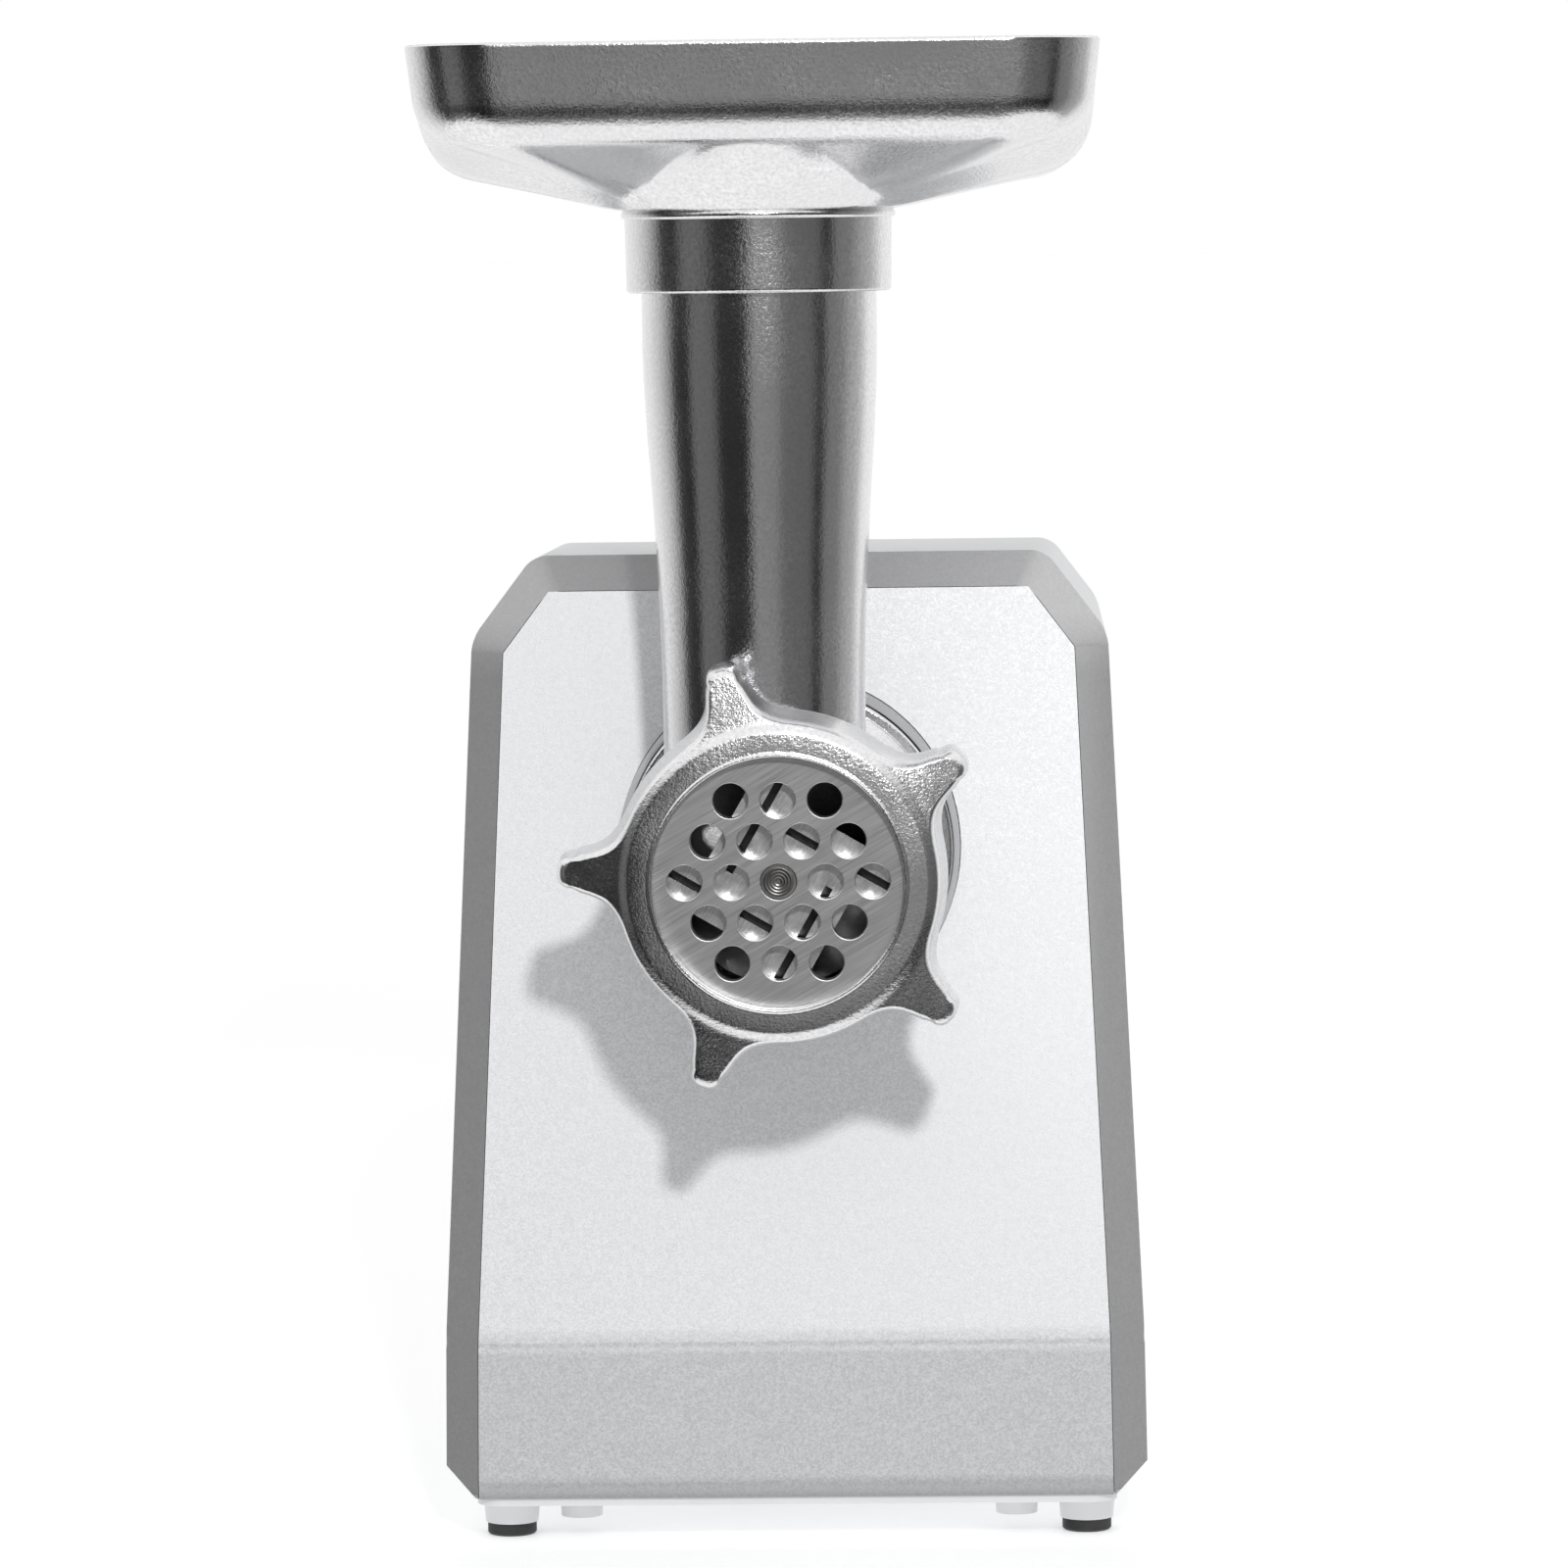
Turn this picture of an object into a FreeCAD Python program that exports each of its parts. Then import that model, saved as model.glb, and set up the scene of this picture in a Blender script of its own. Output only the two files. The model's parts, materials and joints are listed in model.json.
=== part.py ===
import FreeCAD, Part

import math
import os

from FreeCAD import Vector

# Electric meat grinder, in millimetres: X to the right as seen from the front, Y from the front to the back,
# +Z up. The origin is on the ground, under the middle of the housing. The grinding head points to -Y.

# ---- driving dimensions -------------------------------------------------------------------------------

# Overall depth and the two main axes
FRONT_Y = -136.0            # front face of the ring nut
REAR_Y = 136.0              # rear wall of the housing
BARREL_Z = 163.3            # height of the barrel and output shaft
THROAT_X = -4.0             # feed throat axis
THROAT_Y = -88.0

# Housing outline, seen from the front (half widths and heights)
WALL = 2.5
LOW_HALF = 82.4             # half width at the bottom
CREASE_HALF = 82.0          # half width at the crease
HIGH_HALF = 75.4            # half width where the top corner cut starts
TOP_HALF = 60.7             # half width of the flat top
CORNER_Z = 212.0
TOP_Z = 231.5
BOTTOM_Z = 11.9
BOTTOM_CUT_X = 7.8
BOTTOM_CUT_Z = 7.1
TOP_SLOPE = 1.3             # degrees the top falls towards the back
REAR_ROUND = 16.0

# Front: an upright apron below a crease, and a panel that leans back above it
APRON_Y = -60.0
CREASE_Z = 49.0
LEAN = 10.0                 # degrees
BEVEL_SIDE = 8.0            # bevel width seen from the front
BEVEL_DEPTH = 8.0
PANEL_GAP = 0.15

# Base and feet
BASE_Z = 10.0
BASE_HALF = 75.2
BASE_FRONT_Y = -57.0
BASE_REAR_Y = 128.0
FOOT_X = 68.2
FOOT_FRONT_Y = -36.0
FOOT_REAR_Y = 112.0
CUP_R = 6.85                # at its root, and CUP_LOW_R at its rim
CUP_LOW_R = 6.3
FOOT_R = 5.8
CUP_LOW_Z = 3.0
BOSS_R = 5.15
BOSS_LOW_R = 4.9
BOSS_LOW_Z = 4.2
BOSS_X = 51.6
BASE_CORNER_R = 6.0
BASE_GAP = 0.05             # between the base plate and the housing
FOOT_ROUND = 0.5
FOOT_SEAT_Z = 8.0           # roof of the cup that holds the foot
BASE_SCREW_R = 1.9
BASE_SCREW_HEAD_R = 3.3
BASE_VENTS = 8
BASE_VENT_Y = 28.0
BASE_VENT_STEP = 8.0
BASE_VENT_WIDTH = 3.5
BASE_VENT_HALF = 22.0

# Rear wall: cord gland and cooling slots
GLAND_X = -40.0
GLAND_Z = 38.0
GLAND_R = 7.0
GLAND_FIT = 0.1
GLAND_FLANGE_R = 9.0
GLAND_LIP = 1.6
CORD_R = 3.6
VENT_COUNT = 8
VENT_LOW_Z = 62.0
VENT_STEP = 8.0
VENT_HEIGHT = 3.2
VENT_HALF = 32.0

# Head: ring nut, cutting plate, knife, auger and casting
NUT_DEPTH = 20.0
NUT_OPENING_R = 28.1
NUT_FRONT_R = 35.4
NUT_BACK_R = 37.8
NUT_LIP = 4.2
NUT_THREAD_R = 34.3
NUT_ROUND = 3.2             # radius of the front shoulder
NUT_CHAMFER = 1.2           # depth of the chamfer round the opening, twice as wide as it is deep
GRIP_COUNT = 5
GRIP_START = 33.0           # degrees, counter-clockwise from +X seen from the front
GRIP_TIP_R = 50.0
GRIP_TIP_HALF = 3.6
GRIP_NECK_R = 43.5
GRIP_FRONT = 6.0            # grip front faces lie this far behind the nut's front
GRIP_FOOT_ANGLE = 19.0

PLATE_R = 31.0
PLATE_THICK = 5.0
PLATE_GAP = 0.3
PLATE_PITCH = 10.5
PLATE_HOLE_R = 3.92
PLATE_CENTRE_R = 4.02
PIN_R = 3.94
KEY_WIDTH = 4.0
KEY_DEPTH = 1.8
KEY_GAP = 0.15

KNIFE_ARM_R = 27.5
KNIFE_HUB_R = 11.0
KNIFE_DEPTH = 8.0
KNIFE_ANGLE = -30.0         # degrees, direction of the first arm
KNIFE_BOSS_R = 6.5
KNIFE_BOSS = 0.6            # the hub's face lies this far behind the knife's front
KNIFE_OFFSET = 10.6         # from the axis to the middle line of each arm
KNIFE_HALF = 5.5            # half width of the arms
KNIFE_TAIL = 6.0            # the arms reach this far behind their nearest point to the axis
KNIFE_THICK = 5.0
KNIFE_SLOT = (0.9, 3.0)     # half width and depth of the slot along each arm
KNIFE_SLOT_TAIL = 4.0
SHANK_SIDE = 10.0

BORE_R = 26.0
MOUTH_R = 31.15
MOUTH_OUTER_R = 34.0
BARREL_OUTER_R = 29.5
BARREL_REAR_Y = -50.0
MOUTH_TAPER = 4.0           # lengths of the two tapers between the barrel, its mouth and its hub
HUB_TAPER = 10.0
HUB_FRONT_Y = -52.0
HUB_R = 36.3
HUB_REAR_Y = -20.0
HUB_INNER_R = 31.5
AUGER_R = 25.2
AUGER_PITCH = 26.0
FLIGHT_THICK = 4.2
FLIGHT_INSET = 1.0          # from the flight's ends to the core's ends
FLIGHT_ROOT_R = 6.0
FLIGHT_FLARE = 0.6          # the flight is this much thicker on each side at its root
JOURNAL_R = 8.0
BUSHING_R = 11.0
BUSHING_FLANGE = (2.5, 2.0)  # width and thickness
REAR_WALL_Y = -58.0         # inside face of the barrel's rear wall
CORE_FACE_R = 9.0           # core: radius of its front face, after its front taper, and at the rear
CORE_FRONT_R = 13.0
CORE_REAR_R = 9.5
CORE_TAPER = 6.0
RUNNING_GAP = 0.05
KNIFE_PLAY = 0.2            # from the knife to the auger's core
END_PLAY = 0.6              # from the core to the barrel's rear wall
SCREW_BORE = 16.0           # depth of the screw's hole in the journal, from the coupling's front face

COUPLING_Y = -47.0          # front face of the drive coupling
COUPLING_REAR_Y = -26.0
COUPLING_R = 14.0
COUPLING_FLOOR = 3.0        # depth of the journal's seat
COUPLING_RIBS = 6
COUPLING_RIB = (1.5, 1.6)   # half width and height
COUPLING_SCREW_R = 2.0
COUPLING_SCREW = 12.0       # length of the screw in front of the coupling's face
COUPLING_HEAD_R = 3.9
COUPLING_WEB = 1.6          # under the screw's head
HEAD_GAP = 0.3
SCREW_GAP = 0.1
HEX_FRONT_Y = -38.5

THROAT_TOP_Z = 309.0
THROAT_TOP_R = 26.7
THROAT_MID_Z = 240.0
THROAT_MID_R = 24.4
THROAT_LOW_R = 23.0
THROAT_WALL = 2.5
THROAT_STRAIGHT = 15.0      # cylindrical length below the tray's collar
THROAT_ROOT_Z = BARREL_Z + 34.0

# Feed tray
RIM_Z = 350.0
COLLAR_LOW_Z = 294.0
COLLAR_TOP_Z = 311.6
COLLAR_LOW_R = 30.05
COLLAR_TOP_R = 30.6
COLLAR_GAP = 0.3
MOUTH_FLARE = (1.5, 0.8)    # the tray's inside starts this far outside the throat and above the collar
TRAY_WALL = 2.0
# (height, half width, front reach, rear reach, corner radius) of the tray's outer sections
TRAY_SECTIONS = [
    (319.8, 64.0, 38.5, 156.0, 14.0),
    (322.0, 69.5, 41.5, 161.5, 17.0),
    (325.6, 73.4, 43.8, 165.6, 19.0),
    (333.0, 76.1, 45.6, 168.4, 20.0),
    (RIM_Z, 77.7, 46.2, 170.0, 20.0),
]
TRAY_FLOOR_RISE = 2.2

# Socket ring that holds the head
SOCKET_R = 40.0
SOCKET_BORE_R = 36.7
SOCKET_FRONT_Y = -48.0
SOCKET_FLANGE_R = 45.0
SOCKET_FLANGE_Y = -27.5
SOCKET_REAR_Y = -18.0
SOCKET_GAP = 0.2
SOCKET_LIP_R = 38.6         # inside of the front lip
SOCKET_FLOOR_Y = -46.5      # recess behind the lip
FLANGE_R = 38.3             # the head's own flange, which covers the entry slots
FLANGE_FRONT_Y = -50.5
FLANGE_BACK_Y = -46.8
FLANGE_CHAMFER = 1.0
SOCKET_CHAMFER = 0.9
LUG_COUNT = 3
LUG_R = 38.1
LUG_ANGLE = 30.0
TWIST = 40.0                # degrees from locked to free
LUG_GAP = 0.3
GROOVE_R = 38.4
GROOVE_Y = (-25.5, -20.5)   # front and back of the bayonet groove
ENTRY_GAP = 1.5             # degrees on each side of a lug in its entry slot

# Gearbox
BOX_FRONT_Y = -18.0
BOX_REAR_Y = 27.0
BOX_WALL = 4.0
BOX_SPLIT_Y = BOX_REAR_Y - 5.0
EAR_R = 5.0
EAR_REACH = 2.0             # the screws' axes lie this far outside the wall
EAR_PLACES = ((0, 180.0), (0, 100.0), (0, 20.0), (1, -40.0), (2, -150.0))    # round part, angle in degrees
BOX_SCREW_R = 2.0
BOX_SCREW_HEAD_R = 3.6
BOX_SCREW_HEAD = 2.4
BOX_SCREW_LENGTH = 13.0     # in the front half
BOX_FLOOR = 5.0
GEAR_GAP = 0.3
BOX_MARGIN = 3.5            # from a gear's pitch circle to the box's inside wall
BEARING_SEAT = 6.5          # depth of the front bearing's seat
BEARING_OUT = 3.0           # the front bearing in front of the box, and inside it
BEARING_IN = 6.0
BEARING_LIP_R = 16.0
REAR_SEAT = 8.0             # depth of the rear bearing's seat from the box's back, which leaves a thin skin
REAR_SKIN = 0.5
FRONT_BEARING_R = 13.0
REAR_BEARING_R = 10.0
REAR_BOSS_R = 14.0
IDLER_BOSS_R = 7.5
PIN_SEAT = 1.5              # the idler pins stop this far from the box's outer faces
MOTOR_END_R = 15.0          # the box round the motor's pinion
MOTOR_HOLE_R = 6.0
PRESSURE_ANGLE = 25.0
BACKLASH = 0.2
OUTPUT = (0.0, BARREL_Z)    # (x, z) of each gear axis
IDLER_2 = (18.0, 121.5)
IDLER_1 = (-8.0, 97.15)
MOTOR_Z = 66.66
MOTOR = (0.0, MOTOR_Z)
STAGE_3 = (1.75, 12, 40)    # module, pinion teeth, gear teeth
STAGE_2 = (1.25, 12, 45)
STAGE_1 = (0.9, 12, 58)
STAGE_3_Y = (-10.0, 6.0)    # front and back of the teeth
STAGE_2_Y = (7.0, 14.0)
STAGE_1_Y = (15.5, 20.5)
FLANK_STEPS = (0.0, 1 / 3, 2 / 3, 1.0)    # points along a tooth's flank
ADDENDUM = 0.95             # in modules
DEDENDUM = 1.25
PIN_SHAFT_R = 4.0
IDLER_HUB = 2.2             # wall of the idlers' hubs
WEB_RIM = 5.0               # output gear: rim inside the pitch circle, and depth of its recesses
WEB_DEPTH = 4.0
WEB_HUB = 6.0
OUTPUT_SHAFT_R = 9.0
OUTPUT_TAIL_R = 7.0
SPLINE_FLATS = 15.3         # across the output gear's hexagonal bore
SPLINE_GAP = 0.05
HEX_PLAY = 1.5              # from the hexagon's end to the floor of its socket
HEX_GAP = 0.2
HEX_FLATS = 13.0
PINION_SHAFT_R = 3.0

# Motor
SHAFT_R = 4.0
BEARING_R = 9.0
STATOR_Y = (56.0, 92.0)
STATOR_HALF = 34.0
STATOR_BORE_R = 21.4
STATOR_ROUND = 4.0          # the stator's round sides stand this far out of its half width
POLE_GAP = 11.0             # half width of the windows between the poles
WINDOW_DEPTH = 1.5
COIL_R = (29.4, 22.4)       # outside and inside of the coils
COIL_ENDS = (9.0, 6.5)      # length of the coils in front of the stator and behind it
COIL_SIDE = (14.0, 26.0)    # half width and middle of each coil
STATOR_CUT = 28.0           # half height of the stator's flats
ARMATURE_R = 20.8
ARMATURE_SLOTS = 12
SLOT_DEPTH = 6.0
SLOT_HALF = 1.2
WINDING_R = 16.5
WINDING_ENDS = (6.0, 5.5)   # length of the winding in front of the core and behind it
WIRE_GAP = 0.1
WIRE_THICK = 1.5
COMMUTATOR_R = 11.0
COMMUTATOR_BARS = 24
SLIT_DEPTH = 2.0
SLIT_HALF = 0.3
COMMUTATOR_Y = (99.0, 111.0)
FAN_Y = (35.0, 44.0)
FAN_R = 29.0
FAN_BLADES = 12
FAN_HUB_R = 9.0
FAN_DISC = 1.8
BLADE_HALF = 0.8
MOTOR_FRONT_Y = 28.0
MOTOR_REAR_Y = 124.0
MOTOR_SCREW_X = FAN_R + 4.2
MOTOR_SCREW_R = 1.9
MOTOR_SCREW_DEPTH = 10.0    # in the stator
MOTOR_HEAD = (3.4, 2.2)     # radius and height of the screws' heads
BEARING_DEPTH = (5.0, 6.0)  # front and rear bearings
BEARING_WALL = 2.5
END_WALL = 2.0              # behind the rear bearing
BEARING_HOLE_R = 5.5
ARM_HALF = 3.0              # half thickness and half height of the brackets' arms
ARM_HALF_Z = 6.0
SLIM_HALF = 2.0             # beside the fan
SLIM_X = FAN_R + 3.2
TOE_HALF_Z = 4.0            # where the front arms meet the stator
TOE = 9.5
BRIDGE = 3.0
DISC_R = (34.0, 24.0)       # ring of the front bracket
BRUSH_HALF = 3.0            # half height, half width and length of the brushes
BRUSH_HALF_Y = 4.0
BRUSH_LENGTH = 14.0
HOLDER_HALF = 5.0
HOLDER_X = (14.0, 29.9)     # inner and outer ends of the brush holders
SPRUNG = 0.2                # from the commutator to the brushes

# Side controls, on the wall towards -X
CONTROL_Y = 48.0
CONTROL_Z = 128.0
CONTROL_W = 32.0
CONTROL_H = 74.0
CONTROL_CORNER_R = 6.0
CONTROL_FACE = (0.2, 2.0)   # inner and outer faces of the plate's flange, from the housing's wall
CONTROL_DEPTH = 4.0
CONTROL_LIP = 2.4           # the plate's flange beyond its opening
CONTROL_FIT = 0.4
ROCKER_Z = 15.0             # heights from the middle of the controls
BUTTON_Z = -21.0
BUTTON_R = 9.0
BUTTON_STEM_R = 3.0
CONTROL_GAP = 0.5
ROCKER_HALF_Z = 13.5
ROCKER_HALF_Y = 9.0
ROCKER_PIVOT_X = -2.0
ROCKER_CROWN_R = 14.6
ROCKER_X = (-3.5, 4.6)      # back and front of the rocker
ROCKER_END_GAP = 0.6
ROCKER_DISH_R = 40.0
ROCKER_DISH_X = 3.2         # bottom of the dish
SWITCH_X = (-28.0, -6.0)
SWITCH_HALF = (8.5, 15.0)   # half width and half height
TERMINAL_X = (-34.0, -27.0)
TERMINAL_HALF = (3.0, 0.5)
TERMINAL_PITCH = 9.0
BUTTON_X = (-4.5, 5.0)
BUTTON_STEM_X = -12.0       # inner end of the stem
POCKET_R = 6.0
POCKET_X = 0.6              # bottom of the spring's pocket
SPRING_R = 5.2
SPRING_BORE_R = 4.0
SPRING_X = (-11.9, -2.5)    # compressed between the reverse switch and the button
MICRO_X = (-26.0, -12.0)
MICRO_HALF = (9.0, 10.0)
MICRO_HOLE_R = 3.4
MICRO_HOLE_X = -16.5

# Electrics
BOARD = ((60.4, 40.0, 150.0), (62.0, 104.0, 205.0))    # two opposite corners
BOARD_PARTS = [((48.0, 48.0, 158.0), (60.4, 66.0, 182.0)), ((50.0, 76.0, 160.0), (60.4, 92.0, 172.0))]
GLAND_DEPTH = 8.0
CLAMP_HALF = 12.0
CLAMP_Y = (-24.0, -14.0)    # from the rear wall
CLAMP_Z = (-18.0, 6.0)      # from the gland's axis

# Sizes used to build and cut the larger forms
SPACE = 600.0               # larger than the whole machine
PAST = 1.0                  # cutting forms run this far past the faces they open
OVERLAP = 0.5               # joined forms run this far into each other
BELOW = 40.0                # the blank runs this far below the ground before its bottom is cut

# Planes that follow from the sizes above
NUT_BACK_Y = FRONT_Y + NUT_DEPTH
LIP_BACK_Y = FRONT_Y + NUT_LIP
PLATE_FRONT_Y = LIP_BACK_Y + PLATE_GAP
PLATE_BACK_Y = PLATE_FRONT_Y + PLATE_THICK
KNIFE_FRONT_Y = PLATE_BACK_Y + 0.1
KNIFE_BACK_Y = KNIFE_FRONT_Y + KNIFE_DEPTH
MOUTH_Y = PLATE_FRONT_Y + 2.0
MOUTH_FLOOR_Y = KNIFE_BACK_Y + 1.0
MOUTH_REAR_Y = NUT_BACK_Y + 2.0

X_AXIS = Vector(1, 0, 0)
Y_AXIS = Vector(0, 1, 0)
Z_AXIS = Vector(0, 0, 1)


# ---- helpers ------------------------------------------------------------------------------------------

def save(shape, node):
    shape.exportStep("parts/" + node + ".step")


def rod(radius, y_low, y_high, x=0.0, z=BARREL_Z):
    """Cylinder along Y."""
    return Part.makeCylinder(radius, y_high - y_low, Vector(x, y_low, z), Y_AXIS)


def tube(outer, inner, y_low, y_high, x=0.0, z=BARREL_Z):
    """Ring along Y."""
    margin = 1.0
    return rod(outer, y_low, y_high, x, z).cut(rod(inner, y_low - margin, y_high + margin, x, z))


def post(radius, z_low, z_high, x, y):
    """Cylinder along Z."""
    return Part.makeCylinder(radius, z_high - z_low, Vector(x, y, z_low), Z_AXIS)


def block(low, high):
    size = Vector(*high).sub(Vector(*low))
    return Part.makeBox(size.x, size.y, size.z, Vector(*low))


def turned(profile, x=0.0, z=BARREL_Z):
    """Solid of revolution about a Y axis from (radius, y) points."""
    points = [Vector(x + radius, y, z) for radius, y in profile]
    face = Part.Face(Part.makePolygon(points + points[:1]))
    return face.revolve(Vector(x, 0, z), Y_AXIS, 360.0)


def spun(profile, x, y):
    """Solid of revolution about a vertical axis from (radius, z) points."""
    points = [Vector(x + radius, y, z) for radius, z in profile]
    face = Part.Face(Part.makePolygon(points + points[:1]))
    return face.revolve(Vector(x, y, 0), Z_AXIS, 360.0)


def polar(radius, degrees, x=0.0, z=BARREL_Z, y=0.0):
    angle = math.radians(degrees)
    return Vector(x + radius * math.cos(angle), y, z + radius * math.sin(angle))


def turn_y(shape, degrees, x=0.0, z=BARREL_Z):
    """Copy turned in the XZ plane, counter-clockwise seen from the front."""
    copy = shape.copy()
    copy.rotate(Vector(x, 0, z), Y_AXIS, -degrees)
    return copy


def prism(points, y_low, y_high):
    """Extrusion along Y of a polygon of (x, z) points."""
    corners = [Vector(x, y_low, z) for x, z in points]
    face = Part.Face(Part.makePolygon(corners + corners[:1]))
    return face.extrude(Vector(0, y_high - y_low, 0))


def fuse_all(shapes):
    return shapes[0].multiFuse(shapes[1:]).removeSplitter()


def group(shapes):
    """Several identical pieces kept as separate solids."""
    return Part.makeCompound(shapes)


# ---- housing ------------------------------------------------------------------------------------------

def beyond(point, normal):
    """Large block filling the side of a plane that its normal points to."""
    slab = Part.makeBox(SPACE, SPACE, SPACE, Vector(-SPACE / 2, -SPACE / 2, 0))
    slab.Placement = FreeCAD.Placement(Vector(*point), FreeCAD.Rotation(Z_AXIS, Vector(*normal)))
    return slab


def front_y(z):
    """Front surface of the panel and apron in the middle of the housing."""
    return APRON_Y + max(0.0, z - CREASE_Z) * math.tan(math.radians(LEAN))


def outline():
    """Right half of the housing's outline, from the bottom to the top."""
    return [
        (LOW_HALF - BOTTOM_CUT_X, BOTTOM_Z),
        (LOW_HALF, BOTTOM_Z + BOTTOM_CUT_Z),
        (CREASE_HALF, CREASE_Z),
        (HIGH_HALF, CORNER_Z),
        (TOP_HALF, TOP_Z),
    ]


def edge_normal(start, end):
    run = Vector(end[1] - start[1], 0, start[0] - end[0])
    return run.normalize()


def outline_edges():
    """Edges of the right half outline as (start, end, outward normal), with the flat top last."""
    points = outline()
    edges = [(a, b, edge_normal(a, b)) for a, b in zip(points, points[1:])]
    edges.append((points[-1], (0.0, TOP_Z), Vector(0, 0, 1)))
    return edges


def housing_solid(inset, rear_radius):
    """The whole housing as one closed form, with every face moved inwards by the inset."""
    lean = math.radians(LEAN)
    slope = math.radians(TOP_SLOPE)
    solid = block((-LOW_HALF - 1, -SPACE / 4, -BELOW), (LOW_HALF + 1, REAR_Y - inset, TOP_Z + 1))
    panel_normal = (0, -math.cos(lean), math.sin(lean))
    planes = [((0, APRON_Y + inset, 0), (0, -1, 0))]
    planes.append((offset((0, APRON_Y, CREASE_Z), panel_normal, -inset), panel_normal))
    low_planes = []
    for index, (start, end, normal) in enumerate(outline_edges()):
        for side in (1, -1):
            way = (normal.x * side, normal.y, normal.z)
            if end[0] == 0.0:
                way = (0, math.sin(slope), math.cos(slope))
            point = (start[0] * side, front_y(start[1]) + BEVEL_DEPTH, start[1])
            outer_plane = (offset(point, way, -inset), way)
            if index == 0:
                low_planes.append(outer_plane)
            else:
                planes.extend([outer_plane, bevel_plane(start, end, normal, side, inset)])
    for point, normal in planes:
        solid = solid.cut(beyond(point, normal))
    solid = round_rear(solid, rear_radius)
    for point, normal in low_planes:
        solid = solid.cut(beyond(point, normal))
    return solid.cut(beyond((0, 0, BOTTOM_Z), (0, 0, -1)))


def offset(point, normal, distance):
    return tuple(p + n * distance for p, n in zip(point, normal))


def bevel_plane(start, end, normal, side, inset):
    """Plane from an outline edge to the panel, a bevel's width inwards."""
    outer_a = Vector(start[0] * side, front_y(start[1]) + BEVEL_DEPTH, start[1])
    outer_b = Vector(end[0] * side, front_y(end[1]) + BEVEL_DEPTH, end[1])
    inner_x = start[0] - normal.x * BEVEL_SIDE
    inner_z = start[1] - normal.z * BEVEL_SIDE
    inner = Vector(inner_x * side, front_y(inner_z), inner_z)
    way = (outer_b - outer_a).cross(inner - outer_a).normalize()
    if way.y > 0:
        way = way * -1
    way = (way.x, way.y, way.z)
    return offset(tuple(outer_a), way, -inset), way


def round_rear(solid, radius):
    """Rounds the rear edges of the sides and top."""
    rear = solid.BoundBox.YMax
    edges = []
    for edge in solid.Edges:
        ends = [v.Point for v in edge.Vertexes]
        at_rear = all(abs(p.y - rear) < 0.01 for p in ends)
        if at_rear and max(p.z for p in ends) > 0:
            edges.append(edge)
    return solid.makeFillet(radius, edges)


def behind_front(distance):
    """Region further back than a given distance behind the front surface."""
    region = block((-SPACE / 4, APRON_Y + distance, -1), (SPACE / 4, REAR_Y + 1, SPACE / 2))
    lean = math.radians(LEAN)
    normal = (0, -math.cos(lean), math.sin(lean))
    region = region.cut(beyond((0, APRON_Y + distance, CREASE_Z), normal))
    return region


def inner_outline(shrink):
    """Panel's outline: the housing's outline above its bottom corners, moved in by the bevel's width."""
    width = BEVEL_SIDE + shrink
    edges = outline_edges()[1:]
    (x0, z0), (x1, z1), normal = edges[0]
    low_z = BOTTOM_Z - 1.0
    low_x = x0 + (x1 - x0) * (low_z - z0) / (z1 - z0) - normal.x * width
    right = [(low_x, low_z)]
    for (_, corner, n1), (_, _, n2) in zip(edges, edges[1:]):
        right.append(meet(corner, n1, n2, width))
    left = [(-x, z) for x, z in reversed(right)]
    return right + left


def meet(corner, n1, n2, width):
    """Corner moved inwards so that both of its edges move by the width."""
    det = n1.x * n2.z - n1.z * n2.x
    if abs(det) < 0.02:
        return (corner[0] - n1.x * width, corner[1] - n1.z * width)
    c1 = n1.x * corner[0] + n1.z * corner[1] - width
    c2 = n2.x * corner[0] + n2.z * corner[1] - width
    return ((c1 * n2.z - c2 * n1.z) / det, (n1.x * c2 - n2.x * c1) / det)


def side_frame():
    """Placement of the side controls: local X out of the left wall, Y to the front, Z up."""
    share = (CONTROL_Z - CREASE_Z) / (CORNER_Z - CREASE_Z)
    x = CREASE_HALF - share * (CREASE_HALF - HIGH_HALF)
    tilt = math.degrees(math.atan((CREASE_HALF - HIGH_HALF) / (CORNER_Z - CREASE_Z)))
    turn = FreeCAD.Rotation(Y_AXIS, tilt).multiply(FreeCAD.Rotation(Z_AXIS, 180.0))
    return FreeCAD.Placement(Vector(-x, CONTROL_Y, CONTROL_Z), turn)


def on_side(shape):
    copy = shape.copy()
    copy.Placement = side_frame().multiply(copy.Placement)
    return copy


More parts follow.
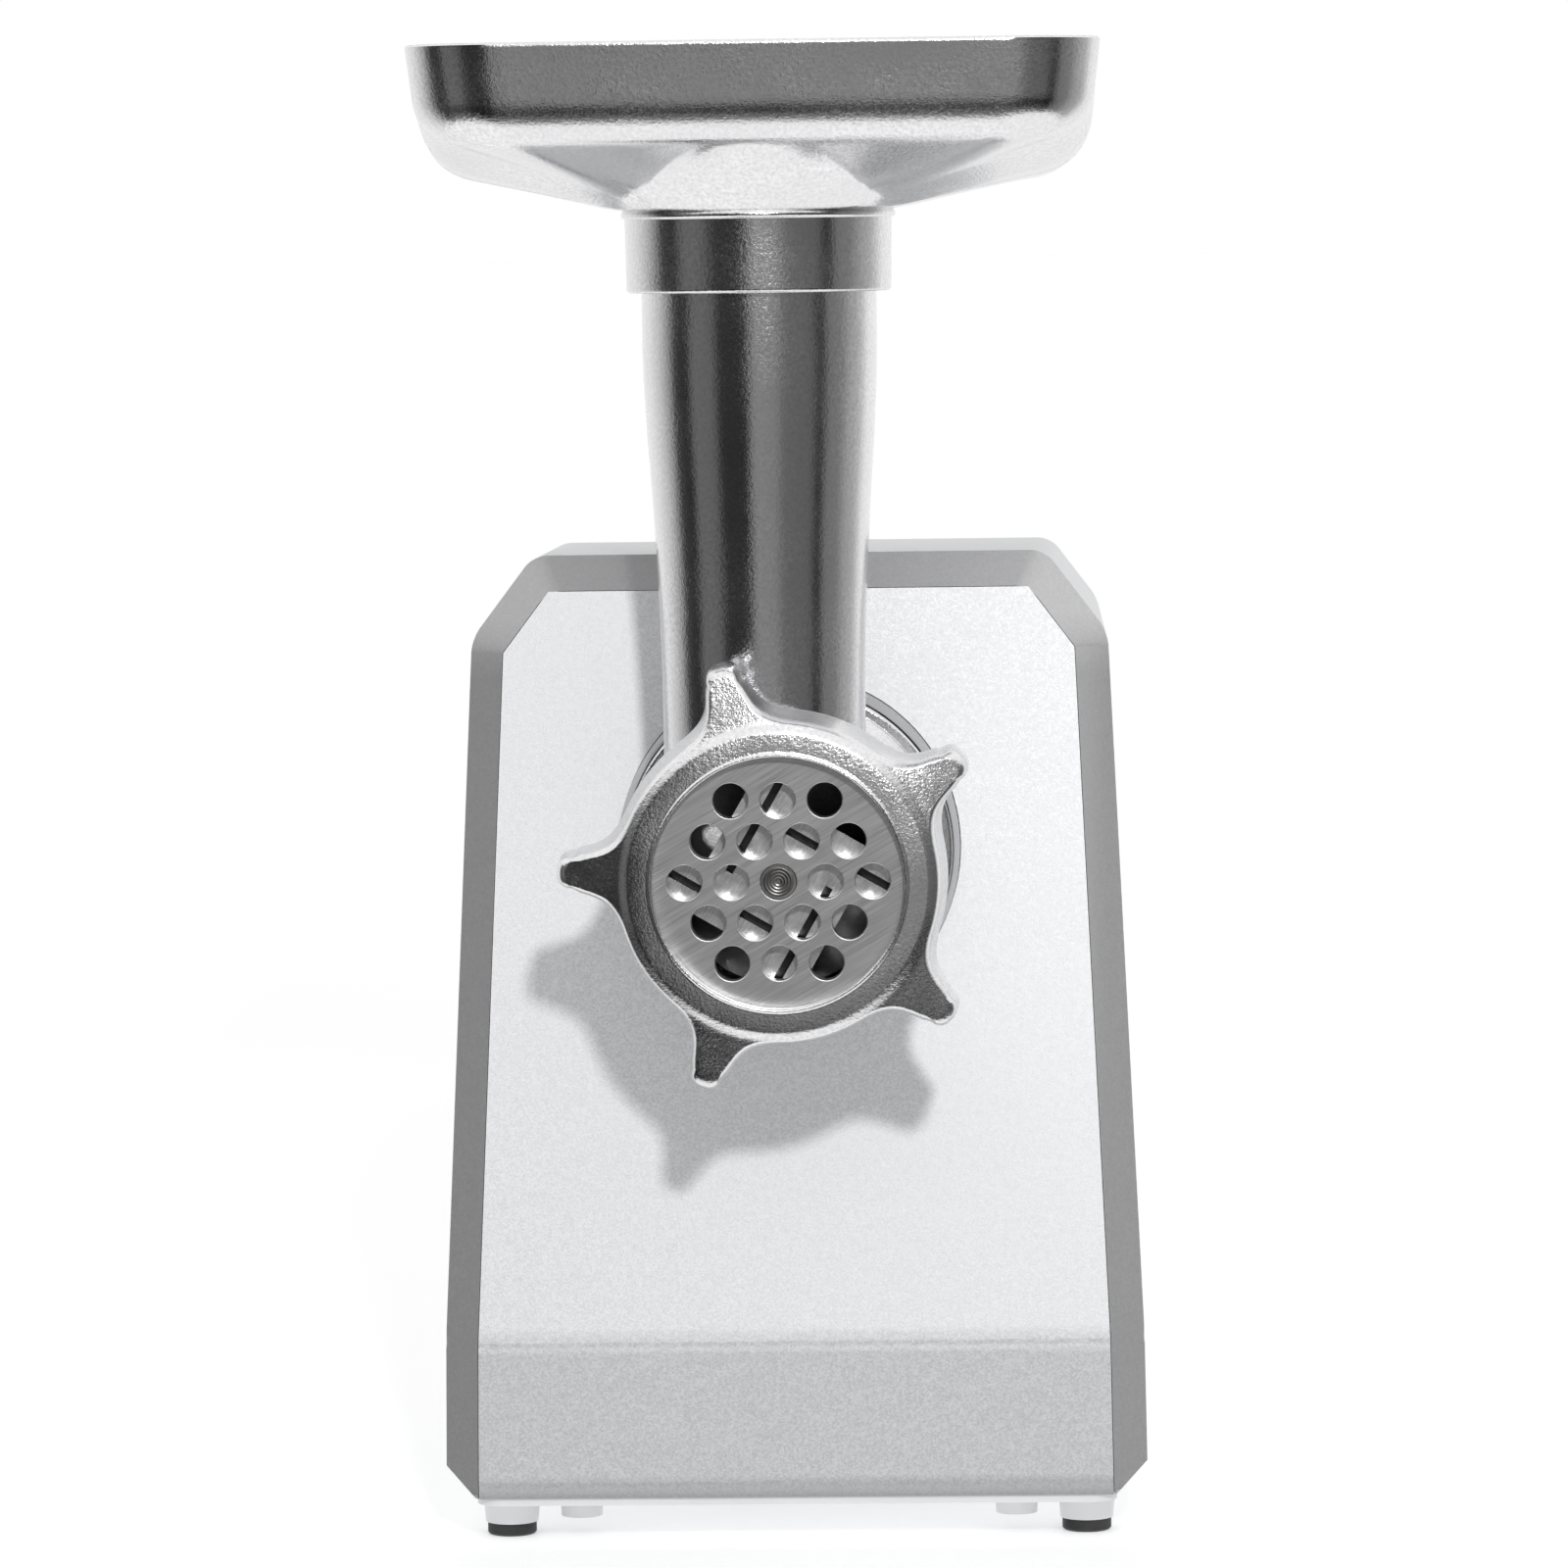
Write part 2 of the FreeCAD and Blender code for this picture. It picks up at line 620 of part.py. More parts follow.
def make_housing():
    outer = housing_solid(0.0, REAR_ROUND)
    inner = housing_solid(WALL, REAR_ROUND - WALL)
    floor = block((-SPACE / 4, -SPACE / 4, 0), (SPACE / 4, SPACE / 4, BOTTOM_Z + WALL))
    shell = outer.cut(inner.cut(floor))
    opening = block(
        (-BASE_HALF + 2 * WALL, BASE_FRONT_Y + WALL, BOTTOM_Z - 1),
        (BASE_HALF - 2 * WALL, BASE_REAR_Y - WALL, BOTTOM_Z + 2 * WALL),
    )
    shell = shell.cut(opening)
    socket_hole = rod(SOCKET_R + SOCKET_GAP, FRONT_Y, SOCKET_REAR_Y)
    back = behind_front(BEVEL_DEPTH)
    front = shell.cut(back)
    panel = front.common(prism(inner_outline(PANEL_GAP), -SPACE / 4, REAR_Y)).cut(socket_hole)
    bezel = front.cut(prism(inner_outline(0.0), -SPACE / 4, REAR_Y))
    rear = shell.common(back).cut(socket_hole)
    half_w = CONTROL_W / 2 - CONTROL_LIP + CONTROL_FIT
    half_h = CONTROL_H / 2 - CONTROL_LIP + CONTROL_FIT
    window = block((-2 * WALL, -half_w, -half_h), (2 * WALL, half_w, half_h))
    through = (REAR_Y - 2 * WALL, REAR_Y + WALL)
    rear = rear.cut(on_side(window)).cut(rod(GLAND_R + GLAND_FIT, *through, GLAND_X, GLAND_Z))
    for i in range(VENT_COUNT):
        z = VENT_LOW_Z + i * VENT_STEP
        slot = block((-VENT_HALF, through[0], z), (VENT_HALF, through[1], z + VENT_HEIGHT))
        rear = rear.cut(slot)
    save(panel, "front_panel")
    save(bezel, "front_bezel")
    save(rear, "rear_housing")


def tapered_post(high_r, low_r, z_low, z_high, x, y):
    """Short upright post that widens towards its top."""
    return Part.makeCone(low_r, high_r, z_high - z_low, Vector(x, y, z_low), Z_AXIS)


def make_base():
    plan = block((-BASE_HALF, BASE_FRONT_Y, BASE_Z), (BASE_HALF, BASE_REAR_Y, BOTTOM_Z - BASE_GAP))
    upright = [e for e in plan.Edges if abs(e.Vertexes[0].Z - e.Vertexes[1].Z) > 1]
    plan = plan.makeFillet(BASE_CORNER_R, upright)
    stand_top = BASE_Z + 1
    cups = []
    feet = []
    bosses = []
    for y, row in ((FOOT_FRONT_Y, "front"), (FOOT_REAR_Y, "rear")):
        for sign, side in ((-1, "left"), (1, "right")):
            cups.append(tapered_post(CUP_R, CUP_LOW_R, CUP_LOW_Z, stand_top, sign * FOOT_X, y))
            feet.append(("foot_" + row + "_" + side, sign * FOOT_X, y))
            bosses.append((sign * BOSS_X, y))
    stands = [tapered_post(BOSS_R, BOSS_LOW_R, BOSS_LOW_Z, stand_top, x, y) for x, y in bosses]
    plate = fuse_all([plan] + cups + stands)
    for name, x, y in feet:
        plate = plate.cut(post(FOOT_R, CUP_LOW_Z - 1, FOOT_SEAT_Z, x, y))
        profile = [(0, FOOT_SEAT_Z), (FOOT_R, FOOT_SEAT_Z), (FOOT_R, FOOT_ROUND), (FOOT_R - FOOT_ROUND, 0), (0, 0)]
        save(spun(profile, x, y), name)
    screws = []
    head_low, head_high = BOSS_LOW_Z + 0.6, BOSS_LOW_Z + 2.6
    for x, y in bosses:
        plate = plate.cut(post(BASE_SCREW_R + 0.2, BOSS_LOW_Z, stand_top + WALL, x, y))
        plate = plate.cut(post(BASE_SCREW_HEAD_R + 0.3, BOSS_LOW_Z - 1, head_high, x, y))
        head = post(BASE_SCREW_HEAD_R, head_low, head_high, x, y)
        screws.append(head.fuse(post(BASE_SCREW_R, head_high - 0.1, BOTTOM_Z + 1.5, x, y)))
    for i in range(BASE_VENTS):
        y = BASE_VENT_Y + i * BASE_VENT_STEP
        plate = plate.cut(block((-BASE_VENT_HALF, y, 0), (BASE_VENT_HALF, y + BASE_VENT_WIDTH, BOTTOM_Z + 1)))
    save(plate, "base_plate")
    save(group(screws), "base_screws")


# ---- grinding head ------------------------------------------------------------------------------------

def grip_outline():
    """Corner points and arcs of one grip, pointing along +X, as a wire in the XZ plane at Y = 0."""
    def at(x, z):
        return Vector(x, 0, z)

    foot = math.radians(GRIP_FOOT_ANGLE)
    low = at(NUT_BACK_R * math.cos(foot), NUT_BACK_R * math.sin(foot))
    neck = at(GRIP_NECK_R, GRIP_TIP_HALF + 0.4)
    middle = at((low.x + neck.x) / 2 + 0.6, (low.z + neck.z) / 2 - 2.4)
    tip = at(GRIP_TIP_R - GRIP_TIP_HALF, GRIP_TIP_HALF)
    inner = at(NUT_FRONT_R - 3, 0)

    def mirror(p):
        return at(p.x, -p.z)

    edges = [
        Part.LineSegment(inner, low).toShape(),
        Part.Arc(low, middle, neck).toShape(),
        Part.LineSegment(neck, tip).toShape(),
        Part.Arc(tip, at(GRIP_TIP_R, 0), mirror(tip)).toShape(),
        Part.LineSegment(mirror(tip), mirror(neck)).toShape(),
        Part.Arc(mirror(neck), mirror(middle), mirror(low)).toShape(),
        Part.LineSegment(mirror(low), inner).toShape(),
    ]
    return Part.Wire(edges)


def make_ring_nut():
    """Nut with a rounded front shoulder, a chamfered opening and five grips."""
    start = Vector(NUT_OPENING_R, FRONT_Y + NUT_CHAMFER, BARREL_Z)
    crown_in = Vector(NUT_OPENING_R + 2 * NUT_CHAMFER, FRONT_Y, BARREL_Z)
    crown_out = Vector(NUT_FRONT_R - NUT_ROUND, FRONT_Y, BARREL_Z)
    shoulder = Vector(NUT_FRONT_R, FRONT_Y + NUT_ROUND, BARREL_Z)
    cut_off = NUT_ROUND * (1 - math.sqrt(0.5))
    corner = Vector(NUT_FRONT_R - cut_off, FRONT_Y + cut_off, BARREL_Z)
    back = [
        Vector(NUT_BACK_R, NUT_BACK_Y, BARREL_Z),
        Vector(NUT_THREAD_R, NUT_BACK_Y, BARREL_Z),
        Vector(NUT_THREAD_R, LIP_BACK_Y, BARREL_Z),
        Vector(NUT_OPENING_R, LIP_BACK_Y, BARREL_Z),
        start,
    ]
    path = [shoulder] + back
    edges = [
        Part.LineSegment(start, crown_in).toShape(),
        Part.LineSegment(crown_in, crown_out).toShape(),
        Part.Arc(crown_out, corner, shoulder).toShape(),
    ]
    edges += [Part.LineSegment(a, b).toShape() for a, b in zip(path, path[1:])]
    ring = Part.Face(Part.Wire(edges)).revolve(Vector(0, 0, BARREL_Z), Y_AXIS, 360.0)
    grip = Part.Face(grip_outline()).extrude(Vector(0, NUT_DEPTH - GRIP_FRONT, 0))
    grip.translate(Vector(0, FRONT_Y + GRIP_FRONT, BARREL_Z))
    grip = grip.cut(rod(NUT_THREAD_R + OVERLAP, FRONT_Y - PAST, NUT_BACK_Y + PAST))
    turns = [GRIP_START + i * 360.0 / GRIP_COUNT for i in range(GRIP_COUNT)]
    save(fuse_all([ring] + [turn_y(grip, angle) for angle in turns]), "ring_nut")


def plate_holes():
    """Centres of the plate's holes in a hexagonal pattern, without the middle one."""
    centres = []
    for row in range(-2, 3):
        count = 5 - abs(row)
        if abs(row) == 2:
            count = 3
        for i in range(count):
            x = (i - (count - 1) / 2) * PLATE_PITCH
            if row or abs(x) > 1:
                centres.append((x, BARREL_Z + row * PLATE_PITCH * math.sqrt(3) / 2))
    return centres


def make_plate():
    plate = rod(PLATE_R, PLATE_FRONT_Y, PLATE_BACK_Y)
    for x, z in plate_holes():
        plate = plate.cut(rod(PLATE_HOLE_R, PLATE_FRONT_Y - PAST, PLATE_BACK_Y + PAST, x, z))
    plate = plate.cut(rod(PLATE_CENTRE_R, PLATE_FRONT_Y - PAST, PLATE_BACK_Y + PAST))
    half = KEY_WIDTH / 2 + KEY_GAP
    notch = block(
        (-half, PLATE_FRONT_Y - PAST, BARREL_Z - PLATE_R - PAST),
        (half, PLATE_BACK_Y + PAST, BARREL_Z - PLATE_R + KEY_DEPTH),
    )
    save(plate.cut(notch), "cutting_plate")


def make_knife():
    """Four slotted arms set off-centre round a square-bored hub."""
    hub = rod(KNIFE_HUB_R, KNIFE_FRONT_Y + KNIFE_BOSS, KNIFE_BACK_Y)
    hub = hub.fuse(rod(KNIFE_BOSS_R, KNIFE_FRONT_Y, KNIFE_BACK_Y))
    middle = BARREL_Z + KNIFE_OFFSET
    slot_half, slot_depth = KNIFE_SLOT
    arm = block(
        (-KNIFE_TAIL, KNIFE_FRONT_Y, middle - KNIFE_HALF),
        (KNIFE_ARM_R, KNIFE_FRONT_Y + KNIFE_THICK, middle + KNIFE_HALF),
    )
    slot = block(
        (-KNIFE_SLOT_TAIL, KNIFE_FRONT_Y - PAST, middle - slot_half),
        (KNIFE_ARM_R + PAST, KNIFE_FRONT_Y + slot_depth, middle + slot_half),
    )
    turns = [KNIFE_ANGLE + 90 * i for i in range(4)]
    knife = fuse_all([hub] + [turn_y(arm, angle) for angle in turns])
    for angle in turns:
        knife = knife.cut(turn_y(slot, angle))
    half = SHANK_SIDE / 2 + RUNNING_GAP
    square = block((-half, KNIFE_FRONT_Y - PAST, -half), (half, KNIFE_BACK_Y + PAST, half))
    square.translate(Vector(0, 0, BARREL_Z))
    knife = knife.cut(turn_y(square, KNIFE_ANGLE))
    save(knife.common(rod(KNIFE_ARM_R, KNIFE_FRONT_Y - PAST, KNIFE_BACK_Y + PAST)), "knife")


def make_auger():
    """Tapered core with a helical flight, the knife's square shank and plate pin in front, and a journal."""
    front = KNIFE_BACK_Y + KNIFE_PLAY
    rear = REAR_WALL_Y - END_PLAY
    length = rear - front
    core = turned([
        (0, front),
        (CORE_FACE_R, front),
        (CORE_FRONT_R, front + CORE_TAPER),
        (CORE_REAR_R, rear - FLIGHT_THICK),
        (CORE_REAR_R, rear),
        (0, rear),
    ])
    helix = Part.makeHelix(AUGER_PITCH, length - FLIGHT_THICK - 2 * FLIGHT_INSET, AUGER_R / 2)
    half = FLIGHT_THICK / 2
    root = half + FLIGHT_FLARE
    corners = [(FLIGHT_ROOT_R, -root), (AUGER_R, -half), (AUGER_R, half), (FLIGHT_ROOT_R, root)]
    points = [Vector(x, 0, z) for x, z in corners]
    profile = Part.makePolygon(points + points[:1])
    flight = Part.Wire(helix).makePipeShell([profile], True, True)
    flight.translate(Vector(0, 0, half + FLIGHT_INSET))
    flight.rotate(Vector(0, 0, 0), X_AXIS, -90.0)
    flight.translate(Vector(0, front, BARREL_Z))
    shank_half = SHANK_SIDE / 2
    shank = block(
        (-shank_half, KNIFE_FRONT_Y + OVERLAP, -shank_half),
        (shank_half, front + PAST, shank_half),
    )
    shank.translate(Vector(0, 0, BARREL_Z))
    pin = rod(PIN_R, PLATE_FRONT_Y, front + PAST)
    journal = rod(JOURNAL_R, rear - PAST, COUPLING_Y + COUPLING_FLOOR)
    auger = fuse_all([core, turn_y(shank, KNIFE_ANGLE), pin, journal]).fuse(flight)
    screw_hole = rod(COUPLING_SCREW_R + SCREW_GAP, COUPLING_Y - SCREW_BORE, COUPLING_Y + COUPLING_FLOOR + PAST)
    save(auger.cut(screw_hole), "auger")


def hexagon(flats, y_low, y_high):
    """Hexagonal bar along the barrel's axis, with a corner towards +X."""
    corners = [polar(flats / math.sqrt(3), 60 * i) for i in range(6)]
    return prism([(p.x, p.z) for p in corners], y_low, y_high)


def make_coupling():
    """Moulded drive coupling: pinned on the auger's journal in front, hexagon socket behind."""
    half, height = COUPLING_RIB
    floor_y = COUPLING_Y + COUPLING_FLOOR
    ribs = []
    for i in range(COUPLING_RIBS):
        rib = block((COUPLING_R - PAST, floor_y, -half), (COUPLING_R + height, COUPLING_REAR_Y, half))
        rib.translate(Vector(0, 0, BARREL_Z))
        ribs.append(turn_y(rib, (i + 0.5) * 360.0 / COUPLING_RIBS))
    body = fuse_all([rod(COUPLING_R, COUPLING_Y, COUPLING_REAR_Y)] + ribs)
    body = body.cut(rod(JOURNAL_R, COUPLING_Y - PAST, floor_y))
    body = body.cut(rod(COUPLING_SCREW_R + SCREW_GAP, COUPLING_Y, HEX_FRONT_Y))
    body = body.cut(rod(COUPLING_HEAD_R + HEAD_GAP, floor_y + COUPLING_WEB - SCREW_GAP, COUPLING_REAR_Y))
    body = body.cut(hexagon(HEX_FLATS + HEX_GAP, HEX_FRONT_Y, COUPLING_REAR_Y + PAST))
    save(body, "drive_coupling")
    seat_y = floor_y + COUPLING_WEB
    screw = rod(COUPLING_SCREW_R, COUPLING_Y - COUPLING_SCREW, seat_y + PAST)
    screw = screw.fuse(rod(COUPLING_HEAD_R, seat_y, seat_y + COUPLING_FLOOR))
    save(screw.removeSplitter(), "coupling_screw")
    bore = JOURNAL_R + RUNNING_GAP
    bushing = tube(BUSHING_R, bore, REAR_WALL_Y, BARREL_REAR_Y)
    width, thick = BUSHING_FLANGE
    bushing = bushing.fuse(tube(BUSHING_R + width, bore, BARREL_REAR_Y, BARREL_REAR_Y + thick))
    save(bushing.removeSplitter(), "auger_bushing")


def throat_form(shrink, z_low):
    """The feed throat as a closed form, its radius reduced by the shrink."""
    profile = [
        (0, z_low),
        (THROAT_LOW_R - shrink, z_low),
        (THROAT_LOW_R - shrink, THROAT_ROOT_Z),
        (THROAT_MID_R - shrink, THROAT_MID_Z),
        (THROAT_TOP_R - shrink, COLLAR_LOW_Z - THROAT_STRAIGHT),
        (THROAT_TOP_R - shrink, THROAT_TOP_Z),
        (0, THROAT_TOP_Z),
    ]
    return spun(profile, THROAT_X, THROAT_Y)


def make_head_casting():
    barrel = turned([
        (0, MOUTH_Y),
        (MOUTH_OUTER_R, MOUTH_Y),
        (MOUTH_OUTER_R, MOUTH_REAR_Y),
        (BARREL_OUTER_R, MOUTH_REAR_Y + MOUTH_TAPER),
        (BARREL_OUTER_R, HUB_FRONT_Y - HUB_TAPER),
        (HUB_R, HUB_FRONT_Y),
        (HUB_R, FLANGE_FRONT_Y),
        (FLANGE_R - FLANGE_CHAMFER, FLANGE_FRONT_Y),
        (FLANGE_R, FLANGE_FRONT_Y + FLANGE_CHAMFER),
        (FLANGE_R, FLANGE_BACK_Y),
        (HUB_R, FLANGE_BACK_Y),
        (HUB_R, HUB_REAR_Y),
        (0, HUB_REAR_Y),
    ])
    lugs = []
    for i in range(LUG_COUNT):
        middle = i * 360.0 / LUG_COUNT
        lugs.append(lug(LUG_R, LUG_ANGLE, middle, GROOVE_Y[0] + LUG_GAP, GROOVE_Y[1] - LUG_GAP))
    casting = fuse_all([barrel, throat_form(0.0, BARREL_Z)] + lugs)
    bore = turned([
        (0, MOUTH_Y - PAST),
        (MOUTH_R, MOUTH_Y - PAST),
        (MOUTH_R, MOUTH_FLOOR_Y),
        (BORE_R, MOUTH_FLOOR_Y),
        (BORE_R, REAR_WALL_Y),
        (BUSHING_R, REAR_WALL_Y),
        (BUSHING_R, BARREL_REAR_Y),
        (HUB_INNER_R, BARREL_REAR_Y),
        (HUB_INNER_R, HUB_REAR_Y + PAST),
        (0, HUB_REAR_Y + PAST),
    ])
    mouth = post(THROAT_TOP_R - THROAT_WALL, COLLAR_LOW_Z, THROAT_TOP_Z + PAST, THROAT_X, THROAT_Y)
    casting = casting.cut(bore).cut(throat_form(THROAT_WALL, BARREL_Z).fuse(mouth))
    key = block(
        (-KEY_WIDTH / 2, MOUTH_Y + OVERLAP, BARREL_Z - MOUTH_R - PAST),
        (KEY_WIDTH / 2, PLATE_BACK_Y, BARREL_Z - MOUTH_R + KEY_DEPTH),
    )
    save(casting.fuse(key).removeSplitter(), "head_casting")


def lug(radius, span, middle, y_low, y_high):
    """Bayonet lug: a sector of a ring standing out of the hub."""
    ring = tube(radius, HUB_R - PAST, y_low, y_high)
    corners = [polar(0.0, 0.0), polar(2 * radius, -span / 2), polar(2 * radius, span / 2)]
    wedge = prism([(p.x, p.z) for p in corners], y_low - PAST, y_high + PAST)
    return turn_y(ring.common(wedge), middle)


def make_socket_ring():
    """Collar in the panel that takes the head's hub, with a bayonet groove and entry slots behind its lip."""
    ring = turned([
        (SOCKET_BORE_R, SOCKET_FLOOR_Y),
        (SOCKET_LIP_R, SOCKET_FLOOR_Y),
        (SOCKET_LIP_R, SOCKET_FRONT_Y),
        (SOCKET_R - SOCKET_CHAMFER, SOCKET_FRONT_Y),
        (SOCKET_R, SOCKET_FRONT_Y + SOCKET_CHAMFER),
        (SOCKET_R, SOCKET_FLANGE_Y),
        (SOCKET_FLANGE_R, SOCKET_FLANGE_Y),
        (SOCKET_FLANGE_R, SOCKET_REAR_Y),
        (SOCKET_BORE_R, SOCKET_REAR_Y),
    ])
    ring = ring.cut(tube(GROOVE_R, SOCKET_BORE_R - PAST, *GROOVE_Y))
    for i in range(LUG_COUNT):
        middle = TWIST + i * 360.0 / LUG_COUNT
        entry = lug(GROOVE_R, LUG_ANGLE + 2 * ENTRY_GAP, middle, SOCKET_FLOOR_Y - PAST, GROOVE_Y[0] + PAST)
        ring = ring.cut(entry)
    save(ring, "socket_ring")


# ---- feed tray ----------------------------------------------------------------------------------------

def tray_wire(z, half, front, rear, corner):
    """Rounded rectangle about the throat axis, as four corner arcs and four sides, in a fixed order."""
    x0, x1 = THROAT_X - half, THROAT_X + half
    y0, y1 = THROAT_Y - front, THROAT_Y + rear
    centres = [
        (x1 - corner, y1 - corner),
        (x0 + corner, y1 - corner),
        (x0 + corner, y0 + corner),
        (x1 - corner, y0 + corner),
    ]
    edges = []
    ends = []
    for i, (cx, cy) in enumerate(centres):
        arc = []
        for angle in (0, 45, 90):
            a = math.radians(90 * i + angle)
            arc.append(Vector(cx + corner * math.cos(a), cy + corner * math.sin(a), z))
        ends.append(arc)
    for i, arc in enumerate(ends):
        edges.append(Part.Arc(*arc).toShape())
        edges.append(Part.LineSegment(arc[2], ends[(i + 1) % 4][0]).toShape())
    return Part.Wire(edges)


def round_wire(z, radius):
    """Circle on the throat axis split into eight arcs that match the tray wire's edges."""
    spans = [(30, 60), (60, 120), (120, 150), (150, 210), (210, 240), (240, 300), (300, 330), (330, 390)]
    edges = []
    for start, end in spans:
        points = []
        for angle in (start, (start + end) / 2, end):
            a = math.radians(angle)
            points.append(Vector(THROAT_X + radius * math.cos(a), THROAT_Y + radius * math.sin(a), z))
        edges.append(Part.Arc(*points).toShape())
    return Part.Wire(edges)


def tray_form(wall, neck_radius, neck_z, top_z):
    """Closed form of the tray from its neck to its rim, with every section drawn in by the wall."""
    wires = [round_wire(neck_z, neck_radius)]
    for z, half, front, rear, corner in TRAY_SECTIONS:
        lift = TRAY_FLOOR_RISE if wall and z < TRAY_SECTIONS[3][0] else 0.0
        height = top_z if z == RIM_Z else z + lift
        wires.append(tray_wire(height, half - wall, front - wall, rear - wall, corner - wall / 2))
    parts = [Part.makeLoft([a, b], True, True) for a, b in zip(wires, wires[1:])]
    return fuse_all(parts)


def make_tray():
    collar = spun([
        (0, COLLAR_LOW_Z),
        (COLLAR_LOW_R, COLLAR_LOW_Z),
        (COLLAR_TOP_R, COLLAR_TOP_Z),
        (0, COLLAR_TOP_Z),
    ], THROAT_X, THROAT_Y)
    outer = tray_form(0.0, COLLAR_TOP_R, COLLAR_TOP_Z, RIM_Z).fuse(collar)
    bore = THROAT_TOP_R - THROAT_WALL
    inner = tray_form(TRAY_WALL, bore + MOUTH_FLARE[0], COLLAR_TOP_Z + MOUTH_FLARE[1], RIM_Z + OVERLAP)
    socket = post(THROAT_TOP_R + COLLAR_GAP, COLLAR_LOW_Z - PAST, THROAT_TOP_Z + COLLAR_GAP, THROAT_X, THROAT_Y)
    passage = post(bore, COLLAR_LOW_Z, COLLAR_TOP_Z + TRAY_WALL + PAST, THROAT_X, THROAT_Y)
    save(outer.cut(inner).cut(socket).cut(passage), "feed_tray")


# ---- gear train ---------------------------------------------------------------------------------------

def heading(start, end):
    """Direction in degrees from one (x, z) axis to another."""
    return math.degrees(math.atan2(end[1] - start[1], end[0] - start[0]))


def involute(radius, base):
    roll = math.sqrt(max(0.0, (radius / base) ** 2 - 1.0))
    return roll - math.atan(roll)


def gear(module, teeth, phase, centre, y_low, y_high):
    """Spur gear with one tooth centred on the phase angle."""
    pressure = math.radians(PRESSURE_ANGLE)
    pitch_r = module * teeth / 2
    base_r = pitch_r * math.cos(pressure)
    tip_r = pitch_r + ADDENDUM * module
    root_r = pitch_r - DEDENDUM * module
    half_tooth = math.pi / (2 * teeth) - BACKLASH / (4 * pitch_r)
    start_r = max(base_r, root_r)
    steps = [start_r + (tip_r - start_r) * share for share in FLANK_STEPS]
    flank = [(r, half_tooth + math.tan(pressure) - pressure - involute(r, base_r)) for r in steps]
    if root_r < base_r:
        flank.insert(0, (root_r, flank[0][1]))
    points = []
    for i in range(teeth):
        middle = math.radians(phase) + 2 * math.pi * i / teeth
        for r, angle in flank:
            points.append((r, middle - angle))
        for r, angle in reversed(flank):
            points.append((r, middle + angle))
    corners = [(centre[0] + r * math.cos(a), centre[1] + r * math.sin(a)) for r, a in points]
    return prism(corners, y_low, y_high)


def make_output_drive():
    """Output gear on its splined shaft, whose front end is the hexagon that drives the coupling."""
    module, _, wheel = STAGE_3
    low, high = STAGE_3_Y
    body = gear(module, wheel, heading(OUTPUT, IDLER_2), OUTPUT, low, high)
    web_r = module * wheel / 2 - WEB_RIM
    hub_r = OUTPUT_SHAFT_R + WEB_HUB
    body = body.cut(tube(web_r, hub_r, low - PAST, low + WEB_DEPTH))
    body = body.cut(tube(web_r, hub_r, high - WEB_DEPTH, high + PAST))
    save(body.cut(hexagon(SPLINE_FLATS, low - PAST, high + PAST)), "output_gear")
    shaft = fuse_all([
        hexagon(HEX_FLATS, HEX_FRONT_Y + HEX_PLAY, BOX_FRONT_Y - BEARING_SEAT - OVERLAP),
        rod(OUTPUT_SHAFT_R, BOX_FRONT_Y - BEARING_SEAT - PAST, low - OVERLAP),
        hexagon(SPLINE_FLATS - SPLINE_GAP, low - PAST, high),
        rod(OUTPUT_TAIL_R, high - PAST, BOX_REAR_Y - PAST),
    ])
    save(shaft, "output_shaft")
    bore = OUTPUT_SHAFT_R + RUNNING_GAP
    front_y = (BOX_FRONT_Y - BEARING_OUT, BOX_FRONT_Y + BEARING_IN)
    save(tube(FRONT_BEARING_R, bore, *front_y), "output_bearing_front")
    rear_y = (BOX_REAR_Y - REAR_SEAT, BOX_REAR_Y - REAR_SKIN)
    save(tube(REAR_BEARING_R, OUTPUT_TAIL_R + RUNNING_GAP, *rear_y), "output_bearing_rear")


def idler(centre, large, large_y, large_phase, small, small_y, small_phase):
    """Compound gear turning on a fixed pin."""
    wheel = gear(large[0], large[2], large_phase, centre, *large_y)
    pinion = gear(small[0], small[1], small_phase, centre, *small_y)
    hub = rod(PIN_SHAFT_R + IDLER_HUB, min(large_y[0], small_y[0]), max(large_y[1], small_y[1]), *centre)
    bore = rod(PIN_SHAFT_R + RUNNING_GAP, BOX_FRONT_Y, BOX_REAR_Y, *centre)
    return fuse_all([wheel, pinion, hub]).cut(bore).removeSplitter()


def space_phase(direction, teeth):
    """Phase that puts a tooth space on the given direction."""
    return direction + 180.0 / teeth


def make_idlers():
    gear_2 = idler(
        IDLER_2,
        STAGE_2, STAGE_2_Y, heading(IDLER_2, IDLER_1),
        STAGE_3, STAGE_3_Y, space_phase(heading(IDLER_2, OUTPUT), STAGE_3[1]),
    )
    gear_1 = idler(
        IDLER_1,
        STAGE_1, STAGE_1_Y, heading(IDLER_1, MOTOR),
        STAGE_2, STAGE_2_Y, space_phase(heading(IDLER_1, IDLER_2), STAGE_2[1]),
    )
    save(gear_2, "idler_gear_2")
    save(gear_1, "idler_gear_1")
    for name, centre in (("idler_shaft_2", IDLER_2), ("idler_shaft_1", IDLER_1)):
        save(rod(PIN_SHAFT_R, BOX_FRONT_Y + PIN_SEAT, BOX_REAR_Y - PIN_SEAT, *centre), name)
    module, teeth, _ = STAGE_1
    pinion = gear(module, teeth, space_phase(heading(MOTOR, IDLER_1), teeth), MOTOR, *STAGE_1_Y)
    save(pinion.cut(rod(PINION_SHAFT_R, BOX_FRONT_Y, BOX_REAR_Y, *MOTOR)), "motor_pinion")


